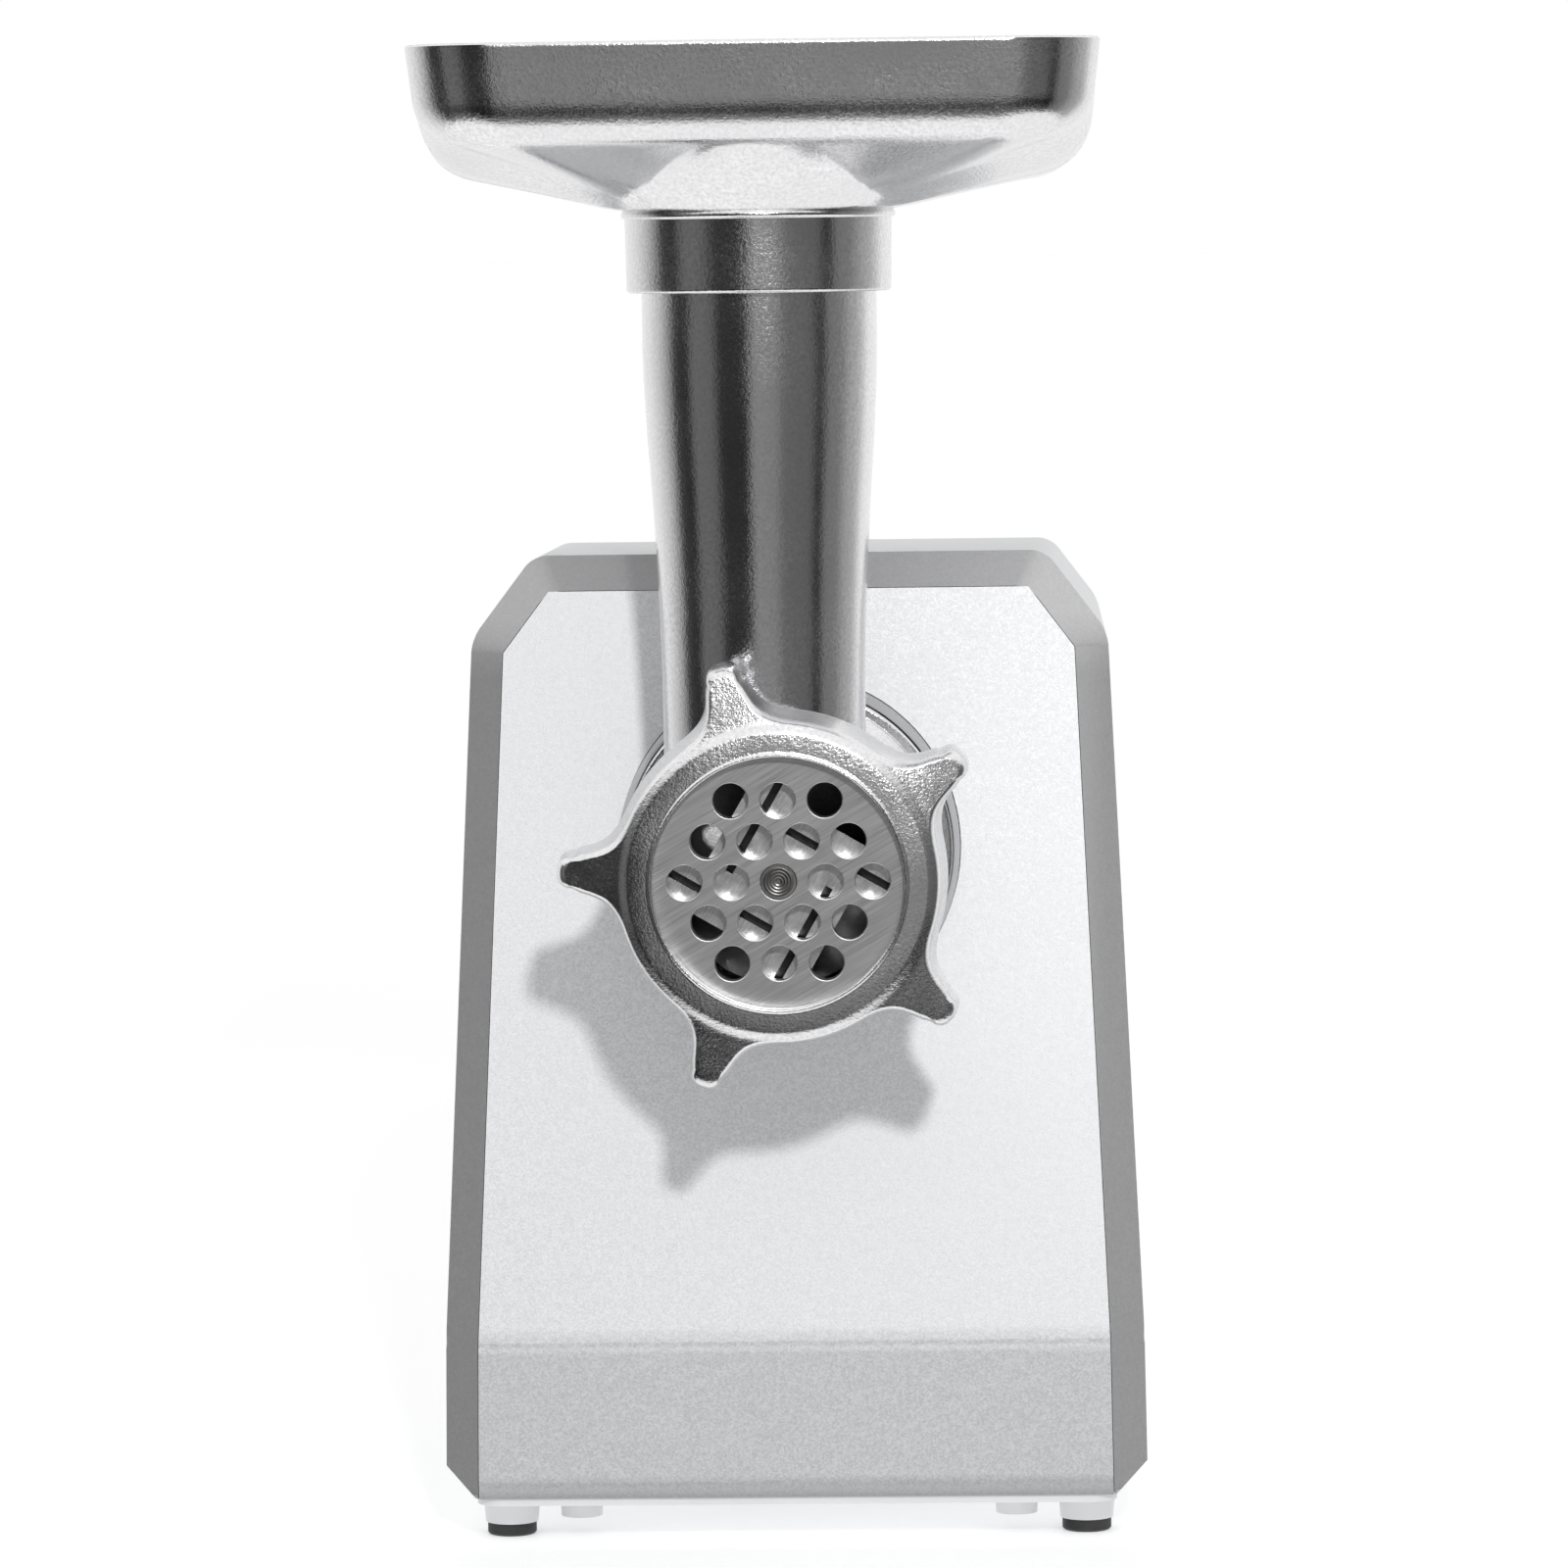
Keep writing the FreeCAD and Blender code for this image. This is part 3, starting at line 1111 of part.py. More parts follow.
def box_rounds():
    """Axis and radius of each round part of the gearbox outline."""
    return [
        (OUTPUT, STAGE_3[0] * STAGE_3[2] / 2 + BOX_MARGIN),
        (IDLER_2, STAGE_2[0] * STAGE_2[2] / 2 + BOX_MARGIN),
        (IDLER_1, STAGE_1[0] * STAGE_1[2] / 2 + BOX_MARGIN),
        (MOTOR, MOTOR_END_R),
    ]


def box_screws():
    """Screw positions on ears round the gearbox: which round part, and at what angle."""
    rounds = box_rounds()
    places = []
    for index, degrees in EAR_PLACES:
        (x, z), radius = rounds[index]
        point = polar(radius + BOX_WALL + EAR_REACH, degrees, x, z)
        places.append((point.x, point.z))
    return places


def box_form(grow, y_low, y_high):
    """Gearbox outline: round the three gears and the motor's shaft."""
    return fuse_all([rod(r + grow, y_low, y_high, *c) for c, r in box_rounds()])


def make_gearbox():
    """Two halves, screwed together through ears, with seats for the bearings and the idlers' pins."""
    seat_y = BOX_FRONT_Y + BEARING_SEAT
    ears = [rod(EAR_R, BOX_FRONT_Y, BOX_SPLIT_Y, x, z) for x, z in box_screws()]
    front = fuse_all([box_form(BOX_WALL, BOX_FRONT_Y, BOX_SPLIT_Y)] + ears)
    front = front.cut(box_form(0.0, BOX_FRONT_Y + BOX_FLOOR, BOX_SPLIT_Y + PAST))
    bosses = [
        rod(BEARING_LIP_R, BOX_FRONT_Y, seat_y, *OUTPUT),
        rod(IDLER_BOSS_R, BOX_FRONT_Y, STAGE_3_Y[0] - GEAR_GAP, *IDLER_2),
        rod(IDLER_BOSS_R, BOX_FRONT_Y, STAGE_2_Y[0] - GEAR_GAP, *IDLER_1),
    ]
    front = fuse_all([front] + bosses).cut(rod(FRONT_BEARING_R, BOX_FRONT_Y - PAST, seat_y))
    front = front.fuse(tube(BEARING_LIP_R, FRONT_BEARING_R, BOX_FRONT_Y, seat_y))
    for centre in (IDLER_2, IDLER_1):
        front = front.cut(rod(PIN_SHAFT_R, BOX_FRONT_Y + PIN_SEAT, BOX_REAR_Y, *centre))
    ears = [rod(EAR_R, BOX_SPLIT_Y, BOX_REAR_Y, x, z) for x, z in box_screws()]
    lid = [box_form(BOX_WALL, BOX_SPLIT_Y, BOX_REAR_Y), rod(REAR_BOSS_R, BOX_REAR_Y - REAR_SEAT, BOX_REAR_Y)]
    rear = fuse_all(lid + ears)
    rear = rear.cut(rod(REAR_BEARING_R, BOX_REAR_Y - REAR_SEAT - PAST, BOX_REAR_Y - REAR_SKIN))
    rear = rear.cut(rod(MOTOR_HOLE_R, BOX_SPLIT_Y - PAST, BOX_REAR_Y + PAST, *MOTOR))
    for centre in (IDLER_2, IDLER_1):
        rear = rear.cut(rod(PIN_SHAFT_R, BOX_FRONT_Y, BOX_REAR_Y - PIN_SEAT, *centre))
    screws = []
    hole_y = BOX_SPLIT_Y - BOX_SCREW_LENGTH
    for x, z in box_screws():
        rear = rear.cut(rod(BOX_SCREW_R + SCREW_GAP, BOX_SPLIT_Y - PAST, BOX_REAR_Y + PAST, x, z))
        front = front.cut(rod(BOX_SCREW_R, hole_y - PAST, BOX_SPLIT_Y + PAST, x, z))
        shank = rod(BOX_SCREW_R, hole_y, BOX_REAR_Y + OVERLAP, x, z)
        screws.append(shank.fuse(rod(BOX_SCREW_HEAD_R, BOX_REAR_Y, BOX_REAR_Y + BOX_SCREW_HEAD, x, z)))
    save(front, "gearbox_front")
    save(rear, "gearbox_rear")
    save(group(screws), "gearbox_screws")


# ---- motor --------------------------------------------------------------------------------------------

def motor_rod(radius, y_low, y_high):
    return rod(radius, y_low, y_high, *MOTOR)


def motor_tube(outer, inner, y_low, y_high):
    return tube(outer, inner, y_low, y_high, *MOTOR)


def motor_block(half_x, half_z, y_low, y_high, x=0.0, z=0.0):
    return block((x - half_x, y_low, MOTOR_Z + z - half_z), (x + half_x, y_high, MOTOR_Z + z + half_z))


def spokes(piece, count):
    """Copies of a piece all round the motor's axis."""
    return [turn_y(piece, i * 360.0 / count, *MOTOR) for i in range(count)]


def make_rotor():
    thin_end = motor_rod(PINION_SHAFT_R, STAGE_1_Y[0], MOTOR_FRONT_Y)
    shaft = thin_end.fuse(motor_rod(SHAFT_R, MOTOR_FRONT_Y - PAST, MOTOR_REAR_Y - END_WALL))
    save(shaft, "motor_shaft")
    low, high = STATOR_Y
    core = motor_tube(ARMATURE_R, SHAFT_R, low, high)
    slot = block(
        (ARMATURE_R - SLOT_DEPTH, low - PAST, MOTOR_Z - SLOT_HALF),
        (ARMATURE_R + PAST, high + PAST, MOTOR_Z + SLOT_HALF),
    )
    for piece in spokes(slot, ARMATURE_SLOTS):
        core = core.cut(piece)
    save(core, "armature_core")
    wire_r = ARMATURE_R - SLOT_DEPTH + WIRE_GAP
    wire_half = SLOT_HALF - WIRE_GAP
    wire = block(
        (wire_r, low - OVERLAP, MOTOR_Z - wire_half),
        (wire_r + WIRE_THICK, high + OVERLAP, MOTOR_Z + wire_half),
    )
    ends = [
        motor_tube(WINDING_R, SHAFT_R + PAST, low - WINDING_ENDS[0], low),
        motor_tube(WINDING_R, SHAFT_R + PAST, high, high + WINDING_ENDS[1]),
    ]
    save(fuse_all(ends + spokes(wire, ARMATURE_SLOTS)), "armature_winding")
    copper = motor_tube(COMMUTATOR_R, SHAFT_R, *COMMUTATOR_Y)
    slit = block(
        (COMMUTATOR_R - SLIT_DEPTH, COMMUTATOR_Y[0] - PAST, MOTOR_Z - SLIT_HALF),
        (COMMUTATOR_R + PAST, COMMUTATOR_Y[1] + PAST, MOTOR_Z + SLIT_HALF),
    )
    for piece in spokes(slit, COMMUTATOR_BARS):
        copper = copper.cut(piece)
    save(copper, "commutator")
    hub = motor_tube(FAN_HUB_R, SHAFT_R, *FAN_Y)
    disc = motor_tube(FAN_R, SHAFT_R, FAN_Y[0], FAN_Y[0] + FAN_DISC)
    blade = block((FAN_HUB_R - PAST, FAN_Y[0], MOTOR_Z - BLADE_HALF), (FAN_R, FAN_Y[1], MOTOR_Z + BLADE_HALF))
    save(fuse_all([hub, disc] + spokes(blade, FAN_BLADES)), "cooling_fan")


def make_stator():
    low, high = STATOR_Y
    past = (low - PAST, high + PAST)
    outer_r = STATOR_HALF + STATOR_ROUND
    outer = motor_rod(outer_r, low, high).common(motor_block(outer_r, STATOR_CUT, low, high))
    window = motor_block(POLE_GAP, STATOR_BORE_R + WINDOW_DEPTH, *past)
    core = outer.cut(motor_rod(STATOR_BORE_R, *past)).cut(window)
    for x in (-MOTOR_SCREW_X, MOTOR_SCREW_X):
        core = core.cut(rod(MOTOR_SCREW_R, high - MOTOR_SCREW_DEPTH, high + PAST, x, MOTOR_Z))
    save(core, "stator_core")
    coils = []
    for sign in (-1, 1):
        for y0, y1 in ((low - COIL_ENDS[0], low), (high, high + COIL_ENDS[1])):
            arc = motor_tube(*COIL_R, y0, y1)
            side = motor_block(COIL_SIDE[0], SPACE, y0 - PAST, y1 + PAST, sign * COIL_SIDE[1])
            coils.append(arc.common(side))
    save(group(coils), "field_coils")


def make_brackets():
    low, high = STATOR_Y
    front_y = (MOTOR_FRONT_Y, MOTOR_FRONT_Y + BRIDGE)
    parts = [motor_tube(*DISC_R, *front_y), motor_block(FAN_R + BRIDGE, ARM_HALF_Z, *front_y)]
    for sign in (-1, 1):
        toe_y = low - TOE
        parts.append(motor_block(SLIM_HALF, ARM_HALF_Z, MOTOR_FRONT_Y, toe_y, sign * SLIM_X))
        parts.append(motor_block(ARM_HALF, TOE_HALF_Z, toe_y - WIRE_GAP, low, sign * MOTOR_SCREW_X))
    seat_y = MOTOR_FRONT_Y + BEARING_DEPTH[0]
    boss = motor_rod(BEARING_R + BEARING_WALL, MOTOR_FRONT_Y, seat_y + PAST)
    front = fuse_all(parts + [boss]).cut(motor_rod(BEARING_R, MOTOR_FRONT_Y - PAST, seat_y))
    front = front.cut(motor_rod(BEARING_HOLE_R, MOTOR_FRONT_Y, seat_y + 2 * PAST))
    save(front, "motor_bracket_front")
    rear_y = MOTOR_REAR_Y - END_WALL
    seat_y = rear_y - BEARING_DEPTH[1] - PAST
    arms = [motor_block(ARM_HALF, ARM_HALF_Z, high, MOTOR_REAR_Y, sign * MOTOR_SCREW_X) for sign in (-1, 1)]
    bridge = motor_block(MOTOR_SCREW_X + ARM_HALF, ARM_HALF_Z, MOTOR_REAR_Y - BRIDGE, MOTOR_REAR_Y)
    boss = motor_rod(BEARING_R + BEARING_WALL, seat_y, MOTOR_REAR_Y)
    rear = fuse_all([bridge, boss] + arms).cut(motor_rod(BEARING_R, seat_y - PAST, rear_y))
    screws = []
    head_r, head = MOTOR_HEAD
    for x in (-MOTOR_SCREW_X, MOTOR_SCREW_X):
        rear = rear.cut(rod(MOTOR_SCREW_R + SCREW_GAP, high - PAST, MOTOR_REAR_Y + PAST, x, MOTOR_Z))
        shank = rod(MOTOR_SCREW_R, high - MOTOR_SCREW_DEPTH, MOTOR_REAR_Y + PAST, x, MOTOR_Z)
        screws.append(shank.fuse(rod(head_r, MOTOR_REAR_Y, MOTOR_REAR_Y + head, x, MOTOR_Z)))
    save(group(screws), "motor_screws")
    save(rear, "motor_bracket_rear")
    bore = SHAFT_R + RUNNING_GAP
    front_end = MOTOR_FRONT_Y + BEARING_DEPTH[0]
    save(motor_tube(BEARING_R, bore, MOTOR_FRONT_Y, front_end), "motor_bearing_front")
    save(motor_tube(BEARING_R, bore, rear_y - BEARING_DEPTH[1], rear_y), "motor_bearing_rear")


def make_brushes():
    middle = sum(COMMUTATOR_Y) / 2
    start, end = HOLDER_X
    brush_x = COMMUTATOR_R + SPRUNG + BRUSH_LENGTH / 2
    brush_y = (middle - BRUSH_HALF_Y, middle + BRUSH_HALF_Y)
    for side, sign in (("left", -1), ("right", 1)):
        holder_y = (middle - HOLDER_HALF, middle + HOLDER_HALF)
        sleeve = motor_block((end - start) / 2, HOLDER_HALF, *holder_y, sign * (start + end) / 2)
        save(sleeve.cut(motor_block(SPACE, BRUSH_HALF, *brush_y)), "brush_holder_" + side)
        save(motor_block(BRUSH_LENGTH / 2, BRUSH_HALF, *brush_y, sign * brush_x), "carbon_brush_" + side)


# ---- controls and electrics ---------------------------------------------------------------------------

def stud(radius, start, end, z):
    """Cylinder along X for the side controls."""
    return Part.makeCylinder(radius, end - start, Vector(start, 0, z), X_AXIS)


def make_controls():
    """Control plate, power rocker with its switch, and the sprung reverse button with its switch."""
    half_w, half_h = CONTROL_W / 2, CONTROL_H / 2
    plate = block((CONTROL_FACE[0], -half_w, -half_h), (CONTROL_FACE[1], half_w, half_h))
    corners = [e for e in plate.Edges if e.Vertexes[0].X != e.Vertexes[1].X]
    plate = plate.makeFillet(CONTROL_CORNER_R, corners)
    sunk_w, sunk_h = half_w - CONTROL_LIP, half_h - CONTROL_LIP
    plate = plate.fuse(block((-CONTROL_DEPTH, -sunk_w, -sunk_h), (CONTROL_FACE[0] + OVERLAP, sunk_w, sunk_h)))
    opening_y, opening_z = ROCKER_HALF_Y + CONTROL_GAP, ROCKER_HALF_Z + CONTROL_GAP
    slot = block(
        (-CONTROL_DEPTH - PAST, -opening_y, ROCKER_Z - opening_z),
        (CONTROL_DEPTH, opening_y, ROCKER_Z + opening_z),
    )
    round_hole = stud(BUTTON_R + CONTROL_GAP, -CONTROL_DEPTH - PAST, CONTROL_DEPTH, BUTTON_Z)
    save(on_side(plate.removeSplitter().cut(slot).cut(round_hole)), "control_panel")

    start = Vector(ROCKER_PIVOT_X, -ROCKER_HALF_Y, ROCKER_Z)
    crown = Part.makeCylinder(ROCKER_CROWN_R, 2 * ROCKER_HALF_Y, start, Y_AXIS)
    half_z = ROCKER_HALF_Z - ROCKER_END_GAP
    body = block(
        (ROCKER_X[0], -ROCKER_HALF_Y, ROCKER_Z - half_z),
        (ROCKER_X[1], ROCKER_HALF_Y, ROCKER_Z + half_z),
    )
    start = Vector(ROCKER_DISH_X + ROCKER_DISH_R, -ROCKER_HALF_Y - PAST, ROCKER_Z)
    dish = Part.makeCylinder(ROCKER_DISH_R, 2 * (ROCKER_HALF_Y + PAST), start, Y_AXIS)
    save(on_side(body.common(crown).cut(dish)), "power_rocker")
    half_y, half_z = SWITCH_HALF
    parts = [block((SWITCH_X[0], -half_y, ROCKER_Z - half_z), (SWITCH_X[1], half_y, ROCKER_Z + half_z))]
    half_y, half_z = TERMINAL_HALF
    for i in (-1, 0, 1):
        z = ROCKER_Z + i * TERMINAL_PITCH
        parts.append(block((TERMINAL_X[0], -half_y, z - half_z), (TERMINAL_X[1], half_y, z + half_z)))
    save(on_side(fuse_all(parts)), "switch_body")

    cap = stud(BUTTON_R, *BUTTON_X, BUTTON_Z)
    stem = stud(BUTTON_STEM_R, BUTTON_STEM_X, BUTTON_X[0] + PAST, BUTTON_Z)
    pocket = stud(POCKET_R, BUTTON_X[0] - WIRE_GAP, POCKET_X, BUTTON_Z)
    pocket = pocket.cut(stud(BUTTON_STEM_R, BUTTON_X[0] - PAST, POCKET_X + PAST, BUTTON_Z))
    save(on_side(cap.fuse(stem).cut(pocket).removeSplitter()), "reverse_button")
    spring = stud(SPRING_R, *SPRING_X, BUTTON_Z)
    spring = spring.cut(stud(SPRING_BORE_R, SPRING_X[0] - PAST, SPRING_X[1] + PAST, BUTTON_Z))
    save(on_side(spring), "button_spring")
    half_y, half_z = MICRO_HALF
    micro = block((MICRO_X[0], -half_y, BUTTON_Z - half_z), (MICRO_X[1], half_y, BUTTON_Z + half_z))
    micro = micro.cut(stud(MICRO_HOLE_R, MICRO_HOLE_X, MICRO_X[1] + PAST, BUTTON_Z))
    save(on_side(micro), "reverse_switch")


def make_electrics():
    """Control board, cord gland and the clamp behind it."""
    parts = [block(*BOARD)] + [block(*corners) for corners in BOARD_PARTS]
    save(fuse_all(parts), "control_board")
    flange = rod(GLAND_FLANGE_R, REAR_Y, REAR_Y + GLAND_LIP, GLAND_X, GLAND_Z)
    gland = flange.fuse(rod(GLAND_R, REAR_Y - GLAND_DEPTH, REAR_Y + WIRE_GAP, GLAND_X, GLAND_Z))
    cord = rod(CORD_R, REAR_Y - GLAND_DEPTH - PAST, REAR_Y + GLAND_LIP + PAST, GLAND_X, GLAND_Z)
    save(gland.cut(cord), "cord_gland")
    low_y, high_y = [REAR_Y + y for y in CLAMP_Y]
    low_z, high_z = [GLAND_Z + z for z in CLAMP_Z]
    clamp = block((GLAND_X - CLAMP_HALF, low_y, low_z), (GLAND_X + CLAMP_HALF, high_y, high_z))
    clamp = clamp.cut(rod(CORD_R + SCREW_GAP, low_y - PAST, high_y + PAST, GLAND_X, GLAND_Z))
    save(clamp, "cord_clamp")


def main():
    os.makedirs("parts", exist_ok=True)
    make_housing()
    make_base()
    make_ring_nut()
    make_plate()
    make_knife()
    make_auger()
    make_coupling()
    make_head_casting()
    make_socket_ring()
    make_tray()
    make_output_drive()
    make_idlers()
    make_gearbox()
    make_rotor()
    make_stator()
    make_brackets()
    make_brushes()
    make_controls()
    make_electrics()


main()
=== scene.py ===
import json
import math

import bmesh
import bpy
from mathutils import Matrix, Vector


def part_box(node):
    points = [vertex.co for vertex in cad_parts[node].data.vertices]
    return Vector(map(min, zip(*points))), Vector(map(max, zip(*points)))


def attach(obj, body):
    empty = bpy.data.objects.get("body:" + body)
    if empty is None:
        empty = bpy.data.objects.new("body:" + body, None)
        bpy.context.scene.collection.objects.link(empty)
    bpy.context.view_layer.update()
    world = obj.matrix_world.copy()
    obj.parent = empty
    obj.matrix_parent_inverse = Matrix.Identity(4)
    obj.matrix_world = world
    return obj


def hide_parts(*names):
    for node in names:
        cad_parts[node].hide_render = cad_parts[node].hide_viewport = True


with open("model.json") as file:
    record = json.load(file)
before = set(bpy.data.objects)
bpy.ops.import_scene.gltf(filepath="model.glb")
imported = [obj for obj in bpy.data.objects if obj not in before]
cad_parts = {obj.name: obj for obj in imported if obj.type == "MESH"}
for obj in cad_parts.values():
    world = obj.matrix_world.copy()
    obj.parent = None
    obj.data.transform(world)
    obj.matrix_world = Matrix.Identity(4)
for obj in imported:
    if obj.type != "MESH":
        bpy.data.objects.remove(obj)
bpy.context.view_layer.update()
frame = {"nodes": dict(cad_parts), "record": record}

# Sizes and places are in millimetres in the frame's axes, and MM turns them into metres. Constants that are
# angles are in degrees.
MM = 0.001
TAU = 2 * math.pi

# Points round a lathed ring, and the angle up to which the edges of cast pieces look smooth.
ROUND_STEPS = 160
CAST_SMOOTH = 50.0


# ---- places read from the frame -----------------------------------------------------------------------

def node_box(node):
    """Lowest and highest corner of a CAD node, in millimetres."""
    low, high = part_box(node)
    return low / MM, high / MM


NUT_LOW, NUT_HIGH = node_box("ring_nut")
PLATE_LOW, PLATE_HIGH = node_box("cutting_plate")
TRAY_LOW, TRAY_HIGH = node_box("feed_tray")
HEAD_LOW, HEAD_HIGH = node_box("head_casting")

# Housing: the apron is upright up to the crease, and the panel leans back above it. The half width narrows
# evenly from the crease to the top of the straight sides.
APRON_Y = -60.0
CREASE_Z = 49.0
PANEL_LEAN = 10.0
BEZEL_WIDTH = 8.0
HALF_AT_CREASE = 82.0
HALF_AT_TOP = 75.4
SIDES_TOP_Z = 212.0

AXIS_X = (PLATE_LOW.x + PLATE_HIGH.x) / 2
AXIS_Z = PLATE_HIGH.z - (PLATE_HIGH.x - PLATE_LOW.x) / 2
THROAT_X = (TRAY_LOW.x + TRAY_HIGH.x) / 2
THROAT_Y = -88.0
FRONT_Y = NUT_LOW.y
NUT_BACK_Y = NUT_HIGH.y


# ---- mesh tools ---------------------------------------------------------------------------------------

def new_object(name, verts, faces, smooth_angle=35.0):
    """Mesh object from vertices in millimetres, smooth except at edges sharper than the angle."""
    mesh = bpy.data.meshes.new(name)
    mesh.from_pydata([Vector(v) * MM for v in verts], [], faces)
    mesh.validate()
    obj = bpy.data.objects.new(name, mesh)
    bpy.context.collection.objects.link(obj)
    tidy_normals(mesh)
    shade(mesh, smooth_angle)
    return obj


def tidy_normals(mesh):
    """Merges the points that coincide, and turns all faces outwards."""
    bm = bmesh.new()
    bm.from_mesh(mesh)
    bmesh.ops.remove_doubles(bm, verts=bm.verts, dist=1e-6)
    bmesh.ops.recalc_face_normals(bm, faces=bm.faces)
    bm.to_mesh(mesh)
    bm.free()


def shade(mesh, smooth_angle):
    """Smooth shading, except at edges sharper than the angle."""
    mesh.shade_smooth()
    mesh.set_sharp_from_angle(angle=math.radians(smooth_angle))


def loft(name, rings, smooth_angle=35.0, closed=False):
    """Skin over closed rings of equal length; closed joins the last ring to the first."""
    count = len(rings[0])
    verts = [p for ring in rings for p in ring]
    faces = []
    pairs = len(rings) if closed else len(rings) - 1
    for k in range(pairs):
        a, b = k * count, ((k + 1) % len(rings)) * count
        for i in range(count):
            j = (i + 1) % count
            faces.append((a + i, a + j, b + j, b + i))
    return new_object(name, verts, faces, smooth_angle)


def rounded(points, radius, steps=5, closed=True):
    """Polygon with each corner replaced by an arc; radius is a number or one per point."""
    out = []
    total = len(points)
    for i, p in enumerate(points):
        r = radius[i] if isinstance(radius, (list, tuple)) else radius
        at_end = not closed and i in (0, total - 1)
        if r <= 0 or at_end:
            out.append(tuple(p))
            continue
        corner = Vector(p)
        before = Vector(points[i - 1]) - corner
        after = Vector(points[(i + 1) % total]) - corner
        turn = before.angle(after)
        reach = min(r / math.tan(turn / 2), before.length * 0.48, after.length * 0.48)
        start = corner + before.normalized() * reach
        end = corner + after.normalized() * reach
        for s in range(steps + 1):
            t = s / steps
            point = start * (1 - t) ** 2 + corner * 2 * t * (1 - t) + end * t ** 2
            out.append(tuple(point))
    return out


def circle(radius, count):
    """Points (across, up) round a circle, anticlockwise."""
    return [(radius * math.cos(TAU * i / count), radius * math.sin(TAU * i / count)) for i in range(count)]


def lathe_y(name, profile, segments=ROUND_STEPS):
    """Closed solid of revolution about the head's axis from (radius, y) points."""
    rings = [[(AXIS_X + u, y, AXIS_Z + v) for u, v in circle(r, segments)] for r, y in profile]
    return loft(name, rings, closed=True)


def lathe_z(name, profile):
    """Closed solid of revolution about the throat's axis from (radius, z) points."""
    return loft(name, [throat_ring(r, z) for r, z in profile], closed=True)


def throat_ring(radius, height):
    """Ring round the throat's axis; height may depend on the ring point's x."""
    ring = []
    for u, v in circle(radius, ROUND_STEPS):
        x = THROAT_X + u
        ring.append((x, THROAT_Y + v, height(x) if callable(height) else height))
    return ring


def apply_modifiers(obj):
    """Turns the object's modifiers into mesh."""
    deps = bpy.context.evaluated_depsgraph_get()
    made = bpy.data.meshes.new_from_object(obj.evaluated_get(deps))
    obj.modifiers.clear()
    obj.data = made


# ---- softened CAD nodes -------------------------------------------------------------------------------

EDGE_SEGMENTS = 3
CORNER_SEGMENTS = 8
SHARP_ANGLE = 30.0

# The housing's upper corner edges lie above and outside these places, and turn by more than this angle. Long
# ones run back from the front, and the short ones of the rounded rear lie behind the last place.
CORNER_LOW_Z = 200.0
CORNER_INNER_X = 44.0
CORNER_TURN = 20.0
LONG_EDGE = 6.0
REAR_ROUND_Y = 118.0

# The front skin is cut at these heights, so that it can curve at the apron's lower edge and along the crease.
APRON_ROUND_Z = 16.3
APRON_CUTS = (12.5, 13.2, 13.9, 14.7, 15.5, APRON_ROUND_Z)
CREASE_CUTS = (45.8, 46.5, 47.1, 47.6, 48.0, 48.4, 48.8, 49.3, 49.9, 50.6, 51.4, 52.2)
CURVED_TOP_Z = 55.0
SKIN_REACH = 0.35

# A fine line is pressed in just under the crease, fainter outside the panel, and the crease itself is eased.
LINE_Z = 48.1
LINE_DEPTH = 0.42
LINE_HALF_WIDTH = 73.0
FAINT_SHARE = 0.25
CREASE_DEPTH = 0.12


def softened(node, width, corner_reach, reshape):
    """Copy of a CAD node with its sharp edges rounded.

    A corner reach gives the housing's upper corners a larger round that extends that far from each edge, and
    reshape, when it isn't None, is a function that changes the mesh before its edges are rounded.
    """
    obj = bpy.data.objects.new(node + "_soft", frame["nodes"][node].data.copy())
    bpy.context.collection.objects.link(obj)
    mesh = obj.data
    bm = bmesh.new()
    bm.from_mesh(mesh)
    bmesh.ops.remove_doubles(bm, verts=bm.verts, dist=2e-6)
    bmesh.ops.dissolve_limit(bm, angle_limit=math.radians(1.0), verts=bm.verts, edges=bm.edges)
    if corner_reach:
        corners = [e for e in bm.edges if len(e.link_faces) == 2 and is_upper_corner(e)]
        bmesh.ops.bevel(bm, geom=corners, offset=corner_reach * MM, offset_type="OFFSET",
                        segments=CORNER_SEGMENTS, profile=0.5, affect="EDGES", clamp_overlap=False)
    if reshape:
        reshape(bm)
    bm.to_mesh(mesh)
    bm.free()
    if "custom_normal" in mesh.attributes:
        mesh.attributes.remove(mesh.attributes["custom_normal"])
    mesh.shade_smooth()
    bevel = obj.modifiers.new("edges", "BEVEL")
    bevel.width = width * MM
    bevel.segments = EDGE_SEGMENTS
    bevel.limit_method = "ANGLE"
    bevel.angle_limit = math.radians(SHARP_ANGLE)
    bevel.use_clamp_overlap = True
    flat = obj.modifiers.new("normals", "WEIGHTED_NORMAL")
    flat.weight = 100
    flat.keep_sharp = False
    apply_modifiers(obj)
    return obj


def is_upper_corner(edge):
    """Whether an edge runs from front to back along one of the housing's two upper corners on either side."""
    a, b = [v.co / MM for v in edge.verts]
    run = b - a
    goes_back = run.length > LONG_EDGE and abs(run.y) > 0.3 * run.length
    at_rear = min(a.y, b.y) > REAR_ROUND_Y
    at_corner = min(a.z, b.z) > CORNER_LOW_Z and min(abs(a.x), abs(b.x)) > CORNER_INNER_X
    return at_corner and (goes_back or at_rear) and math.degrees(edge.calc_face_angle()) > CORNER_TURN


def front_y(z):
    """Front surface of the apron and of the leaning panel."""
    return APRON_Y + max(0.0, z - CREASE_Z) * math.tan(math.radians(PANEL_LEAN))


def skin_y(x, z):
    """Front surface of the panel and, outside it, of the sloping bezel."""
    half = HALF_AT_CREASE + (z - CREASE_Z) * (HALF_AT_TOP - HALF_AT_CREASE) / (SIDES_TOP_Z - CREASE_Z)
    return front_y(z) + max(0.0, abs(x) - (half - BEZEL_WIDTH))


